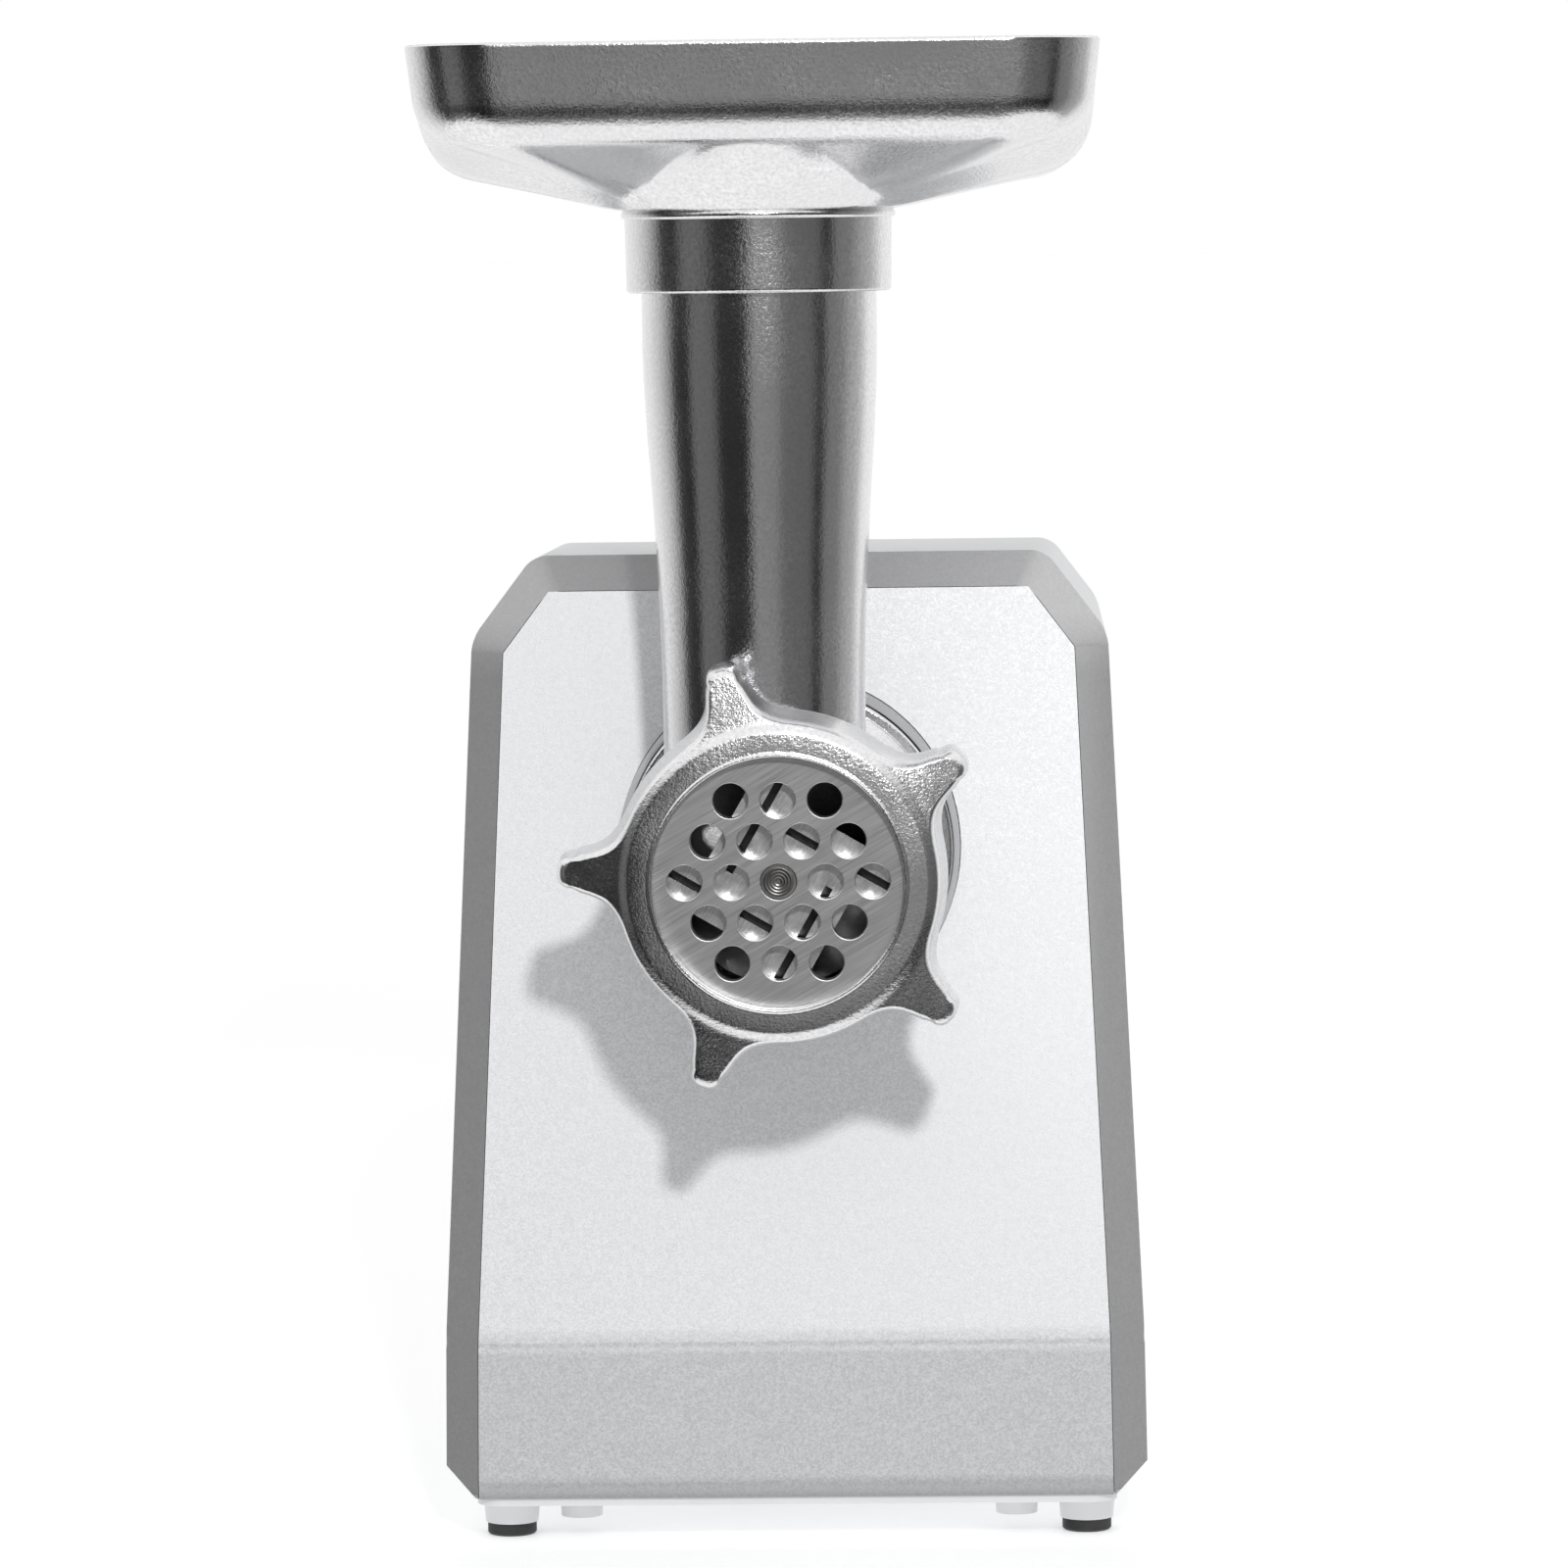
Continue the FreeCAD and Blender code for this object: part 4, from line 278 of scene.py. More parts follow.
def bell(z, middle, width):
    """1 at the middle height, falling smoothly to 0 on either side."""
    return math.exp(-((z - middle) / width) ** 2)


def soft_front(bm):
    """Rounds the crease and the apron's lower edge, by moving the front skin back near them."""
    for z in APRON_CUTS + CREASE_CUTS:
        parts = list(bm.verts) + list(bm.edges) + list(bm.faces)
        level = Vector((0.0, 0.0, z)) * MM
        bmesh.ops.bisect_plane(bm, geom=parts, plane_co=level, plane_no=(0.0, 0.0, 1.0), dist=1e-6)
    for v in bm.verts:
        x, y, z = v.co / MM
        if z > CURVED_TOP_Z or abs(y - skin_y(x, z)) > SKIN_REACH:
            continue
        share = 1.0 if abs(x) < LINE_HALF_WIDTH else FAINT_SHARE
        back = LINE_DEPTH * share * bell(z, LINE_Z, 1.0) + CREASE_DEPTH * bell(z, CREASE_Z, 1.8)
        back += 0.1 * max(0.0, APRON_ROUND_Z - z) ** 2
        v.co.y += back * MM


# ---- pieces and nodes ---------------------------------------------------------------------------------

def dress(obj, material):
    obj.data.materials.clear()
    obj.data.materials.append(material)
    return obj


def stand_for(obj, node, material):
    """The piece takes the CAD node's place and body, and wears the given material."""
    dress(obj, material)
    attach(obj, body_of_node(node))
    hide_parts(node)
    return obj


def body_of_node(node):
    for body, nodes in frame["record"]["behaviour"]["bodies"].items():
        if node in nodes:
            return body
    raise KeyError(node)


def slot_of_node(node):
    for row in frame["record"]["subparts"]:
        if row["node"] == node:
            return row["material_slot"]
    raise KeyError(node)


# ---- materials ----------------------------------------------------------------------------------------

class Graph:
    """Small helper for building a node tree."""

    def __init__(self, tree):
        self.tree = tree

    def node(self, kind, **values):
        made = self.tree.nodes.new(kind)
        for key, value in values.items():
            setattr(made, key, value)
        return made

    def link(self, out, into):
        self.tree.links.new(out, into)

    def math(self, operation, *values):
        """Output of a math node whose inputs are numbers or other outputs."""
        made = self.node("ShaderNodeMath", operation=operation)
        for socket, value in zip(made.inputs, values):
            if isinstance(value, (int, float)):
                socket.default_value = value
            else:
                self.link(value, socket)
        return made.outputs[0]

    def spread(self, value, low, high, start=0.3, end=0.7):
        """Maps the start to end part of a value to low to high."""
        made = self.node("ShaderNodeMapRange")
        made.inputs["From Min"].default_value = start
        made.inputs["From Max"].default_value = end
        made.inputs["To Min"].default_value = low
        made.inputs["To Max"].default_value = high
        self.link(value, made.inputs["Value"])
        return made.outputs["Result"]

    def axes(self, vector):
        """The X, Y and Z outputs of a vector."""
        made = self.node("ShaderNodeSeparateXYZ")
        self.link(vector, made.inputs[0])
        return made.outputs


class Recipe(Graph):
    """One node material in object coordinates, which are in metres."""

    def __init__(self, name, color, metallic, roughness):
        self.material = bpy.data.materials.new(name)
        self.material.use_nodes = True
        super().__init__(self.material.node_tree)
        self.shader = self.tree.nodes["Principled BSDF"]
        self.shader.inputs["Base Color"].default_value = (*color, 1.0)
        self.shader.inputs["Metallic"].default_value = metallic
        self.shader.inputs["Roughness"].default_value = roughness
        self.color = color
        self.place = self.tree.nodes.new("ShaderNodeTexCoord").outputs["Object"]
        self.normal = None

    def stretched(self, scale, turn=(0.0, 0.0, 0.0)):
        """Object coordinates turned, in degrees, and then scaled along each axis."""
        turned = self.node("ShaderNodeVectorRotate", rotation_type="EULER_XYZ")
        turned.inputs["Rotation"].default_value = [math.radians(a) for a in turn]
        self.link(self.place, turned.inputs["Vector"])
        scaled = self.node("ShaderNodeVectorMath", operation="MULTIPLY")
        scaled.inputs[1].default_value = scale
        self.link(turned.outputs[0], scaled.inputs[0])
        return scaled.outputs[0]

    def noise(self, scale, detail=3.0, rough=0.55, place=None):
        made = self.node("ShaderNodeTexNoise")
        made.inputs["Scale"].default_value = scale
        made.inputs["Detail"].default_value = detail
        made.inputs["Roughness"].default_value = rough
        self.link(place or self.place, made.inputs["Vector"])
        return made.outputs["Fac"]

    def cells(self, scale):
        """Value between 0 and 1 that is different in each small cell."""
        made = self.node("ShaderNodeTexVoronoi")
        made.inputs["Scale"].default_value = scale
        self.link(self.place, made.inputs["Vector"])
        split = self.node("ShaderNodeSeparateColor")
        self.link(made.outputs["Color"], split.inputs[0])
        return split.outputs[0]

    def tint(self, value):
        """Base colour times a value near 1."""
        mix = self.node("ShaderNodeVectorMath", operation="SCALE")
        mix.inputs[0].default_value = self.color
        self.link(value, mix.inputs["Scale"])
        self.link(mix.outputs[0], self.shader.inputs["Base Color"])

    def rough(self, value):
        self.link(value, self.shader.inputs["Roughness"])

    def bump(self, height, depth_mm, strength=1.0):
        """Adds relief of the given depth on top of any earlier relief."""
        made = self.node("ShaderNodeBump")
        made.inputs["Strength"].default_value = strength
        made.inputs["Distance"].default_value = depth_mm * MM
        self.link(height, made.inputs["Height"])
        if self.normal is not None:
            self.link(self.normal, made.inputs["Normal"])
        self.normal = made.outputs["Normal"]
        self.link(self.normal, self.shader.inputs["Normal"])

    def set(self, **values):
        for key, value in values.items():
            self.shader.inputs[key.replace("_", " ")].default_value = value


def cast_aluminium(name, shine, grain, color=(0.80, 0.80, 0.81)):
    """Polished casting: soft swells, patchy sparkling grain and short fine scratches across the part."""
    r = Recipe(name, color, 1.0, shine)
    swell = r.noise(45.0, 2.0)
    fine = r.noise(2300.0, 2.0, 0.6)
    scratch = r.noise(1.0, 3.0, 0.6, r.stretched((220.0, 220.0, 3600.0)))
    patches = r.noise(38.0, 3.0, 0.6)
    grains = r.noise(1150.0, 2.0, 0.6)
    worn = r.spread(patches, 0.45, 1.0, 0.40, 0.60)
    speckle = r.math("MULTIPLY", r.spread(grains, -0.14, 0.14), worn)
    r.tint(r.math("ADD", speckle, r.spread(patches, 0.95, 1.03)))
    base = r.spread(patches, shine * 0.75, shine * 1.35)
    r.rough(r.math("ADD", base, r.spread(fine, -0.05, 0.07)))
    r.bump(swell, 0.22, 0.5)
    r.bump(scratch, 0.012 * grain)
    r.bump(r.math("MULTIPLY", grains, worn), 0.055 * grain)
    r.bump(fine, 0.016 * grain)
    return r.material


def ground_steel(name):
    """Flat-ground steel with fine parallel lines that rise to the right."""
    r = Recipe(name, (0.86, 0.86, 0.86), 1.0, 0.34)
    rise = (0.0, 30.0, 0.0)
    lines = r.noise(1.0, 4.0, 0.7, r.stretched((60.0, 60.0, 5200.0), rise))
    broad = r.noise(1.0, 2.0, 0.5, r.stretched((30.0, 30.0, 700.0), rise))
    r.tint(r.math("MULTIPLY", r.spread(lines, 0.80, 1.22), r.spread(broad, 0.92, 1.08)))
    r.rough(r.spread(lines, 0.26, 0.46))
    r.bump(lines, 0.012)
    r.set(Anisotropic=0.4)
    return r.material


def metallic_paint(name, color, metallic, shine, flake, painted_light):
    """Silver paint: small flakes of differing brightness under a soft film, with faint orange peel.

    Each entry of the last argument is painted light and shade: an axis, the two places between which the
    colour changes, and its brightness at each.
    """
    r = Recipe(name, color, metallic, shine)
    flakes = r.cells(2600.0)
    mist = r.noise(900.0, 2.0)
    mist_and_painted_light = r.spread(mist, 0.97, 1.03)
    # Painted light and shade: the colour grows lighter or darker along an axis, standing in for how the light
    # falls.
    for axis, start, end, low, high in painted_light:
        mist_and_painted_light = r.math("MULTIPLY", mist_and_painted_light, r.spread(r.axes(r.place)[axis], low, high, start * MM, end * MM))
    r.tint(r.math("MULTIPLY", r.spread(flakes, 1.0 - flake, 1.0 + flake, 0.0, 1.0), mist_and_painted_light))
    r.rough(r.spread(flakes, shine - 0.06, shine + 0.08, 0.0, 1.0))
    r.bump(flakes, 0.006)
    r.bump(r.noise(160.0, 2.0), 0.03, 0.4)
    r.set(Coat_Weight=0.15)
    r.set(Coat_Roughness=0.3)
    return r.material


def moulded_plastic(name, color, shine, texture_mm):
    """Moulded plastic with a fine spark-eroded texture and slight unevenness of gloss."""
    r = Recipe(name, color, 0.0, shine)
    texture = r.noise(1500.0, 3.0, 0.6)
    clouds = r.noise(28.0, 3.0)
    r.tint(r.spread(clouds, 0.97, 1.03))
    r.rough(r.math("ADD", r.spread(texture, -0.04, 0.05), r.spread(clouds, shine - 0.03, shine + 0.04)))
    r.bump(texture, texture_mm)
    r.bump(clouds, 0.05, 0.3)
    return r.material


def machined_steel(name, color=(0.58, 0.58, 0.60)):
    """Turned or ground steel with fine rings and light smudges."""
    r = Recipe(name, color, 1.0, 0.3)
    lines = r.noise(1.0, 3.0, 0.6, r.stretched((300.0, 4200.0, 300.0)))
    smudge = r.noise(60.0, 4.0)
    r.tint(r.math("MULTIPLY", r.spread(lines, 0.9, 1.1), r.spread(smudge, 0.94, 1.04)))
    r.rough(r.spread(smudge, 0.24, 0.42))
    r.bump(lines, 0.006)
    return r.material


def blade_steel(name, front):
    """Steel knife with bright front faces; everything behind them is painted nearly black, as painted shade
    in the recesses seen through the plate.
    """
    r = Recipe(name, (0.80, 0.80, 0.81), 1.0, 0.26)
    depth = r.math("SUBTRACT", r.axes(r.place)["Y"], front * MM)
    # Painted shade: the colour falls to nearly black a little behind the front faces.
    ground = r.spread(depth, 1.0, 0.07, 0.25 * MM, 0.7 * MM)
    lines = r.noise(1.0, 3.0, 0.6, r.stretched((2400.0, 300.0, 300.0), (0.0, -30.0, 0.0)))
    r.tint(r.math("MULTIPLY", ground, r.spread(lines, 0.8, 1.15)))
    r.rough(r.spread(r.noise(300.0, 3.0), 0.2, 0.38))
    r.bump(lines, 0.008)
    return r.material


def turned_end(name):
    """Lathe-turned end face: concentric rings about the head's axis."""
    r = Recipe(name, (0.27, 0.26, 0.255), 1.0, 0.22)
    away = r.node("ShaderNodeVectorMath", operation="SUBTRACT")
    away.inputs[1].default_value = (AXIS_X * MM, 0.0, AXIS_Z * MM)
    r.link(r.place, away.inputs[0])
    flat = r.node("ShaderNodeVectorMath", operation="MULTIPLY")
    flat.inputs[1].default_value = (1.0, 0.0, 1.0)
    r.link(away.outputs[0], flat.inputs[0])
    length = r.node("ShaderNodeVectorMath", operation="LENGTH")
    r.link(flat.outputs[0], length.inputs[0])
    rings = r.math("SINE", r.math("MULTIPLY", length.outputs["Value"], 9000.0))
    smudge = r.noise(200.0, 3.0)
    r.tint(r.math("MULTIPLY", r.spread(rings, 0.82, 1.15, -1.0, 1.0), r.spread(smudge, 0.8, 1.15)))
    r.rough(r.spread(smudge, 0.16, 0.34))
    r.bump(rings, 0.02)
    return r.material


def rubber_material(name):
    """Matt black rubber with fine grain and a little dust."""
    r = Recipe(name, (0.035, 0.035, 0.036), 0.0, 0.62)
    grain = r.noise(1100.0, 3.0)
    dust = r.noise(70.0, 5.0, 0.65)
    r.tint(r.spread(dust, 0.85, 1.7))
    r.rough(r.spread(dust, 0.52, 0.74))
    r.bump(grain, 0.03)
    return r.material


def copper_material(name):
    """Copper windings with fine wires that run along the motor."""
    r = Recipe(name, (0.62, 0.30, 0.13), 1.0, 0.32)
    wires = r.noise(1.0, 2.0, 0.5, r.stretched((1400.0, 200.0, 1400.0)))
    r.tint(r.spread(wires, 0.6, 1.2))
    r.rough(r.spread(wires, 0.26, 0.42))
    r.bump(wires, 0.10)
    return r.material


def board_material(name):
    """Green circuit board with patches of track."""
    r = Recipe(name, (0.03, 0.16, 0.07), 0.0, 0.35)
    tracks = r.cells(420.0)
    r.tint(r.spread(tracks, 0.7, 1.5, 0.0, 1.0))
    r.rough(r.spread(tracks, 0.28, 0.45, 0.0, 1.0))
    r.bump(tracks, 0.03)
    return r.material


# Painted shade and light: the apron is painted darker than the panel and darkest at its foot, and the bezel
# is painted lighter on top and on the right, standing in for how the light falls on them.
PANEL_PAINTED_SHADE = (("Z", 12.5, 17.5, 0.50, 1.0), ("Z", 48.0, CREASE_Z, 0.92, 1.0))
BEZEL_PAINTED_LIGHT = (("Z", 203.0, 217.0, 1.0, 1.42), ("X", -30.0, 30.0, 0.98, 1.25))

MATERIALS = {
    "cast_aluminium": cast_aluminium("cast_aluminium", 0.13, 1.0),
    "nut_aluminium": cast_aluminium("nut_aluminium", 0.19, 1.3),
    "tray_aluminium": cast_aluminium("tray_aluminium", 0.15, 1.0),
    # The auger's colour is painted dark, as painted shade deep inside the plate's holes.
    "auger_aluminium": cast_aluminium("auger_aluminium", 0.38, 0.5, (0.30, 0.30, 0.30)),
    "ground_steel": ground_steel("ground_steel"),
    "steel": machined_steel("steel"),
    "blade_steel": blade_steel("blade_steel", node_box("knife")[0].y),
    "turned_end": turned_end("turned_end"),
    "nylon": moulded_plastic("nylon", (0.80, 0.78, 0.72), 0.45, 0.01),
    "silver_panel": metallic_paint("silver_panel", (0.755, 0.76, 0.77), 0.40, 0.47, 0.115, PANEL_PAINTED_SHADE),
    "grey_bezel": metallic_paint("grey_bezel", (0.34, 0.34, 0.345), 0.4, 0.45, 0.06, BEZEL_PAINTED_LIGHT),
    "white_plastic": moulded_plastic("white_plastic", (0.80, 0.81, 0.82), 0.34, 0.006),
    "grey_plastic": moulded_plastic("grey_plastic", (0.50, 0.505, 0.515), 0.36, 0.006),
    "black_plastic": moulded_plastic("black_plastic", (0.025, 0.025, 0.027), 0.42, 0.012),
    "rubber": rubber_material("rubber"),
    "zinc_plate": machined_steel("zinc_plate", (0.46, 0.47, 0.49)),
    "laminations": machined_steel("laminations", (0.22, 0.22, 0.24)),
    "copper": copper_material("copper"),
    "board": board_material("board"),
}


# ---- feed tray ----------------------------------------------------------------------------------------

# The tray's rim: half width, reach in front of and behind the throat's axis, and corner radius.
TRAY_HALF = 77.6
TRAY_FRONT = 46.1
TRAY_REAR = 169.8
TRAY_CORNER = 20.0
RIM_Z = 350.0

# Steps over the rolled rim, from the outside in: inset, what the corner radius loses, and depth.
RIM_STEPS = [(0.1, 0.0, 1.2), (0.0, 0.0, 0.5), (0.4, 0.0, 0.05), (1.5, 1.0, 0.05), (2.0, 1.6, 0.7)]

# Levels of the wall: half width, front, rear, corner radius, height, and lift towards the front. The corner
# levels are those that the turns between floor and wall bend about.
OUTER_CORNER = (75.4, 44.9, 167.6, 19.0, 322.4, 7.6)
OUTER_WALL = (76.2, 45.5, 168.5, 20.0, 334.5, 3.5)
INNER_WALL = (74.2, 43.4, 166.5, 18.2, 335.5, 3.5)
INNER_CORNER = (73.4, 42.8, 165.6, 17.2, 324.8, 7.6)
TURN_STEPS = 9
FLOOR_STEPS = 12
SKIRT_STEPS = 4

COLLAR_LOW_R = 30.05
COLLAR_LOW_Z = 294.0
COLLAR_TOP_R = 30.6
COLLAR_TOP_Z = 311.6
COLLAR_BORE = 27.0
PASSAGE_R = 24.2
THROAT_TOP_Z = 309.0

# Steps (out, up) from the collar's low edge, and from its top edge into the neck.
COLLAR_LOW_STEPS = [(-0.5, 0.0), (0.0, 0.5), (0.02, 0.9), (0.05, 2.0)]
COLLAR_TOP_STEPS = [(-0.32, -3.0), (-0.3, -2.0), (-0.25, -1.0), (0.45, -0.6), (0.6, 0.1), (0.1, 0.9)]

FRONT_MIDDLE = 15.0
FRONT_LIFT = 7.0
SKIRT_R = 35.2
SKIRT_Z = 313.3

# Each stretch of the tray's edge, anticlockwise from the right side: (kind, steps, start angle, end angle)
# of the neck circle that it joins. The front middle third joins most of the neck's front, so the neck rises
# to it as a narrowing cone, and its outer thirds are flat flanks.
STRETCHES = [
    ("side", 24, -30.0, 45.0),
    ("corner", 14, 45.0, 58.0),
    ("rear", 30, 58.0, 122.0),
    ("corner", 14, 122.0, 135.0),
    ("side", 24, 135.0, 210.0),
    ("corner", 14, 210.0, 219.0),
    ("flank", 12, 219.0, 226.0),
    ("middle", 30, 226.0, 314.0),
    ("flank", 12, 314.0, 321.0),
    ("corner", 14, 321.0, 330.0),
]


def tray_edge(half, front, rear, corner):
    """Points (x, y) round a rounded rectangle about the throat's axis, one per step of the stretches.

    A straight stretch has its two ends, and a corner its centre and the angle that it starts at.
    """
    xs, ys, yr = half - corner, front - corner, rear - corner
    ends = [
        ((half, -ys), (half, yr)),
        ((xs, yr), 0.0),
        ((xs, rear), (-xs, rear)),
        ((-xs, yr), 90.0),
        ((-half, yr), (-half, -ys)),
        ((-xs, -ys), 180.0),
        ((-xs, -front), (-FRONT_MIDDLE, -front)),
        ((-FRONT_MIDDLE, -front), (FRONT_MIDDLE, -front)),
        ((FRONT_MIDDLE, -front), (xs, -front)),
        ((xs, -ys), 270.0),
    ]
    points = []
    for (kind, steps, _, _), (a, b) in zip(STRETCHES, ends):
        for i in range(steps):
            t = i / steps
            if kind == "corner":
                angle = math.radians(b + 90.0 * t)
                points.append((a[0] + corner * math.cos(angle), a[1] + corner * math.sin(angle)))
            else:
                points.append((a[0] + (b[0] - a[0]) * t, a[1] + (b[1] - a[1]) * t))
    return points


def neck_angles():
    """Angle round the throat's axis of each point that tray_edge gives, in radians."""
    angles = []
    for _, steps, start, end in STRETCHES:
        angles += [math.radians(start + (end - start) * i / steps) for i in range(steps)]
    return angles


def neck_ring(radius, z):
    return [(THROAT_X + radius * math.cos(a), THROAT_Y + radius * math.sin(a), z) for a in neck_angles()]


def edge_ring(half, front, rear, corner, z, lift=0.0):
    """Ring round the tray at a height that rises by the lift towards the front."""
    edge = tray_edge(half, front, rear, corner)
    return [(THROAT_X + x, THROAT_Y + y, z + lift * front_share(y)) for x, y in edge]


def front_share(y):
    """0 along the sides and rear of the tray, 1 along its front and front corners."""
    share = max(0.0, min(1.0, (-y - 4.0) / 26.0))
    return share * share * (3.0 - 2.0 * share)


def floor_edge(drop, wall):
    """Where the sloping floor starts to turn up into the wall: higher at the steep front."""
    return edge_ring(64.5 - wall, 40.5 - wall * 0.6, 158.0 - wall, 15.0, 319.9 + drop, FRONT_LIFT)


def skirt_ring():
    """Ring on the underside just outside the neck: low at the sides, higher in front."""
    ring = []
    for a in neck_angles():
        ahead = -math.sin(a)
        rise = 3.5 * min(1.0, max(0.0, (ahead - 0.35) / 0.28)) + 2.2 * max(0.0, (ahead - 0.72) / 0.28)
        ring.append((THROAT_X + SKIRT_R * math.cos(a), THROAT_Y + SKIRT_R * math.sin(a), SKIRT_Z + rise))
    return ring


def mix_rings(a, b, t):
    """Ring or outline that is the share t of the way from one to another."""
    return [tuple(p + (q - p) * t for p, q in zip(u, v)) for u, v in zip(a, b)]


def turn_rings(a, corner, b, steps):
    """Rings of a curved turn from one ring to another about a corner ring."""
    rings = []
    for s in range(1, steps):
        t = s / steps
        rings.append(mix_rings(mix_rings(a, corner, t), mix_rings(corner, b, t), t))
    return rings


def rings_to(a, b, steps):
    """Evenly spaced rings from just past one ring up to another."""
    return [mix_rings(a, b, t / steps) for t in range(1, steps + 1)]


def make_tray():
    outer_floor = floor_edge(0.0, 0.0)
    outer_wall = edge_ring(*OUTER_WALL)
    inner_wall = edge_ring(*INNER_WALL)
    inner_floor = floor_edge(2.6, 2.4)
    skirt = skirt_ring()
    well = neck_ring(PASSAGE_R + 1.6, COLLAR_TOP_Z + 2.0)
    rings = [neck_ring(COLLAR_BORE, COLLAR_LOW_Z + 0.4), neck_ring(COLLAR_BORE + 0.4, COLLAR_LOW_Z)]
    rings += [neck_ring(COLLAR_LOW_R + out, COLLAR_LOW_Z + up) for out, up in COLLAR_LOW_STEPS]
    rings += [neck_ring(COLLAR_TOP_R + out, COLLAR_TOP_Z + up) for out, up in COLLAR_TOP_STEPS]
    rings += rings_to(rings[-1], skirt, SKIRT_STEPS)
    rings += rings_to(skirt, outer_floor, FLOOR_STEPS)
    rings += turn_rings(outer_floor, edge_ring(*OUTER_CORNER), outer_wall, TURN_STEPS)
    rings.append(outer_wall)
    for inset, less, down in RIM_STEPS:
        rings.append(edge_ring(TRAY_HALF - inset, TRAY_FRONT - inset, TRAY_REAR - inset, TRAY_CORNER - less,
                               RIM_Z - down))
    rings.append(inner_wall)
    rings += turn_rings(inner_wall, edge_ring(*INNER_CORNER), inner_floor, TURN_STEPS)
    rings.append(inner_floor)
    rings += rings_to(inner_floor, well, FLOOR_STEPS)
    rings.append(neck_ring(PASSAGE_R + 0.5, COLLAR_TOP_Z + 1.0))
    rings.append(neck_ring(PASSAGE_R, COLLAR_TOP_Z - 0.2))
    rings.append(neck_ring(PASSAGE_R, THROAT_TOP_Z + 0.3))
    rings.append(neck_ring(COLLAR_BORE, THROAT_TOP_Z + 0.3))
    tray = loft("feed_tray_shell", rings, CAST_SMOOTH, closed=True)
    stand_for(tray, "feed_tray", MATERIALS["tray_aluminium"])


# ---- ring nut -----------------------------------------------------------------------------------------

GRIPS = 5
GRIP_START = 33.0
OPENING_R = 28.1
CREST_R = 33.2
RIM_R = 35.6
BACK_R = 37.7
TIP_R = 49.9
THREAD_R = 34.3
THREAD_PITCH = 2.0
NUT_TURNS = 6
LIP_BACK_Y = PLATE_LOW.y - 0.35

# Steps of the bead round the nut's opening (outwards, behind the nut's front), and shares of the way from the
# crest to the outline.
BEAD = [(0.0, 0.6), (0.12, 0.25), (0.35, 0.06), (0.6, 0.05), (0.82, 0.18), (0.95, 0.34), (1.1, 0.4),
        (1.4, 0.42)]
FACE_SHARES = (0.03, 0.06, 0.1, 0.14, 0.18, 0.23, 0.3, 0.4, 0.52, 0.66, 0.8, 0.91, 1.0)

# Steps of a grip's side curve, its neck and half of its tip, and of the arc between two grips.
SIDE_STEPS = 14
NECK_STEPS = 4
TIP_STEPS = 7
GAP_STEPS = 20
TIP_POWER = 0.8


def nut_outline(rim, tip, half_width, foot_angle):
    """Outline (x, z) of the nut about its axis: a circle with rounded grips that flow into it."""
    foot = math.radians(foot_angle)
    side = grip_side(rim, tip, half_width, foot)
    lower = [Vector((p.x, -p.y)) for p in side]
    grip = lower + list(reversed(side))[1:]
    gap = 360.0 / GRIPS - 2 * foot_angle
    points = []
    for g in range(GRIPS):
        turn = math.radians(GRIP_START + 360.0 / GRIPS * g)
        cosine, sine = math.cos(turn), math.sin(turn)
        points += [(p.x * cosine - p.y * sine, p.x * sine + p.y * cosine) for p in grip]
        for i in range(1, GAP_STEPS):
            a = turn + foot + math.radians(gap * i / GAP_STEPS)
            points.append((rim * math.cos(a), rim * math.sin(a)))
    return points


def grip_side(rim, tip, half_width, foot):
    """Upper side of a grip that points along X: a curve up from the rim, a straight neck and a blunt tip."""
    neck_r = rim + (tip - rim) * 0.6
    foot_p = Vector((rim * math.cos(foot), rim * math.sin(foot)))
    tangent = Vector((math.sin(foot), -math.cos(foot)))
    neck_p = Vector((neck_r, half_width + 0.75))
    reach = (foot_p - neck_p).length
    c1 = foot_p + tangent * reach * 0.52
    c2 = neck_p - Vector((1.0, -0.24)) * reach * 0.40
    centre = tip - half_width
    side = []
    for i in range(SIDE_STEPS + 1):
        t = i / SIDE_STEPS
        u = 1 - t
        side.append(foot_p * u ** 3 + c1 * 3 * t * u ** 2 + c2 * 3 * t * t * u + neck_p * t ** 3)
    for i in range(1, NECK_STEPS):
        side.append(neck_p.lerp(Vector((centre, half_width)), i / NECK_STEPS))
    for i in range(TIP_STEPS + 1):
        a = math.radians(90.0 - 90.0 * i / TIP_STEPS)
        ahead, above = math.cos(a) ** TIP_POWER, math.sin(a) ** TIP_POWER
        side.append(Vector((centre + half_width * ahead, half_width * above)))
    return side


def nut_ring(points, y):
    """Ring through an outline's points; y may depend on the point's distance from the axis."""
    return [(AXIS_X + x, y(math.hypot(x, z)) if callable(y) else y, AXIS_Z + z) for x, z in points]


def circle_like(points, radius):
    """Circle whose points lie on the same rays as the outline's points."""
    ring = []
    for x, z in points:
        length = math.hypot(x, z)
        ring.append((x / length * radius, z / length * radius))
    return ring


def nut_front(radius):
    """Depth of the nut's front surface: a slightly conical ring, a soft step, then gently sloping grips."""
    ring = 0.03 * (min(radius, CREST_R) - OPENING_R - 1.4)
    out = max(radius - CREST_R, 0.0)
    t = min(out / 2.8, 1.0)
    return FRONT_Y + 0.42 + ring + 0.55 * t * t * (3.0 - 2.0 * t) + 0.18 * out


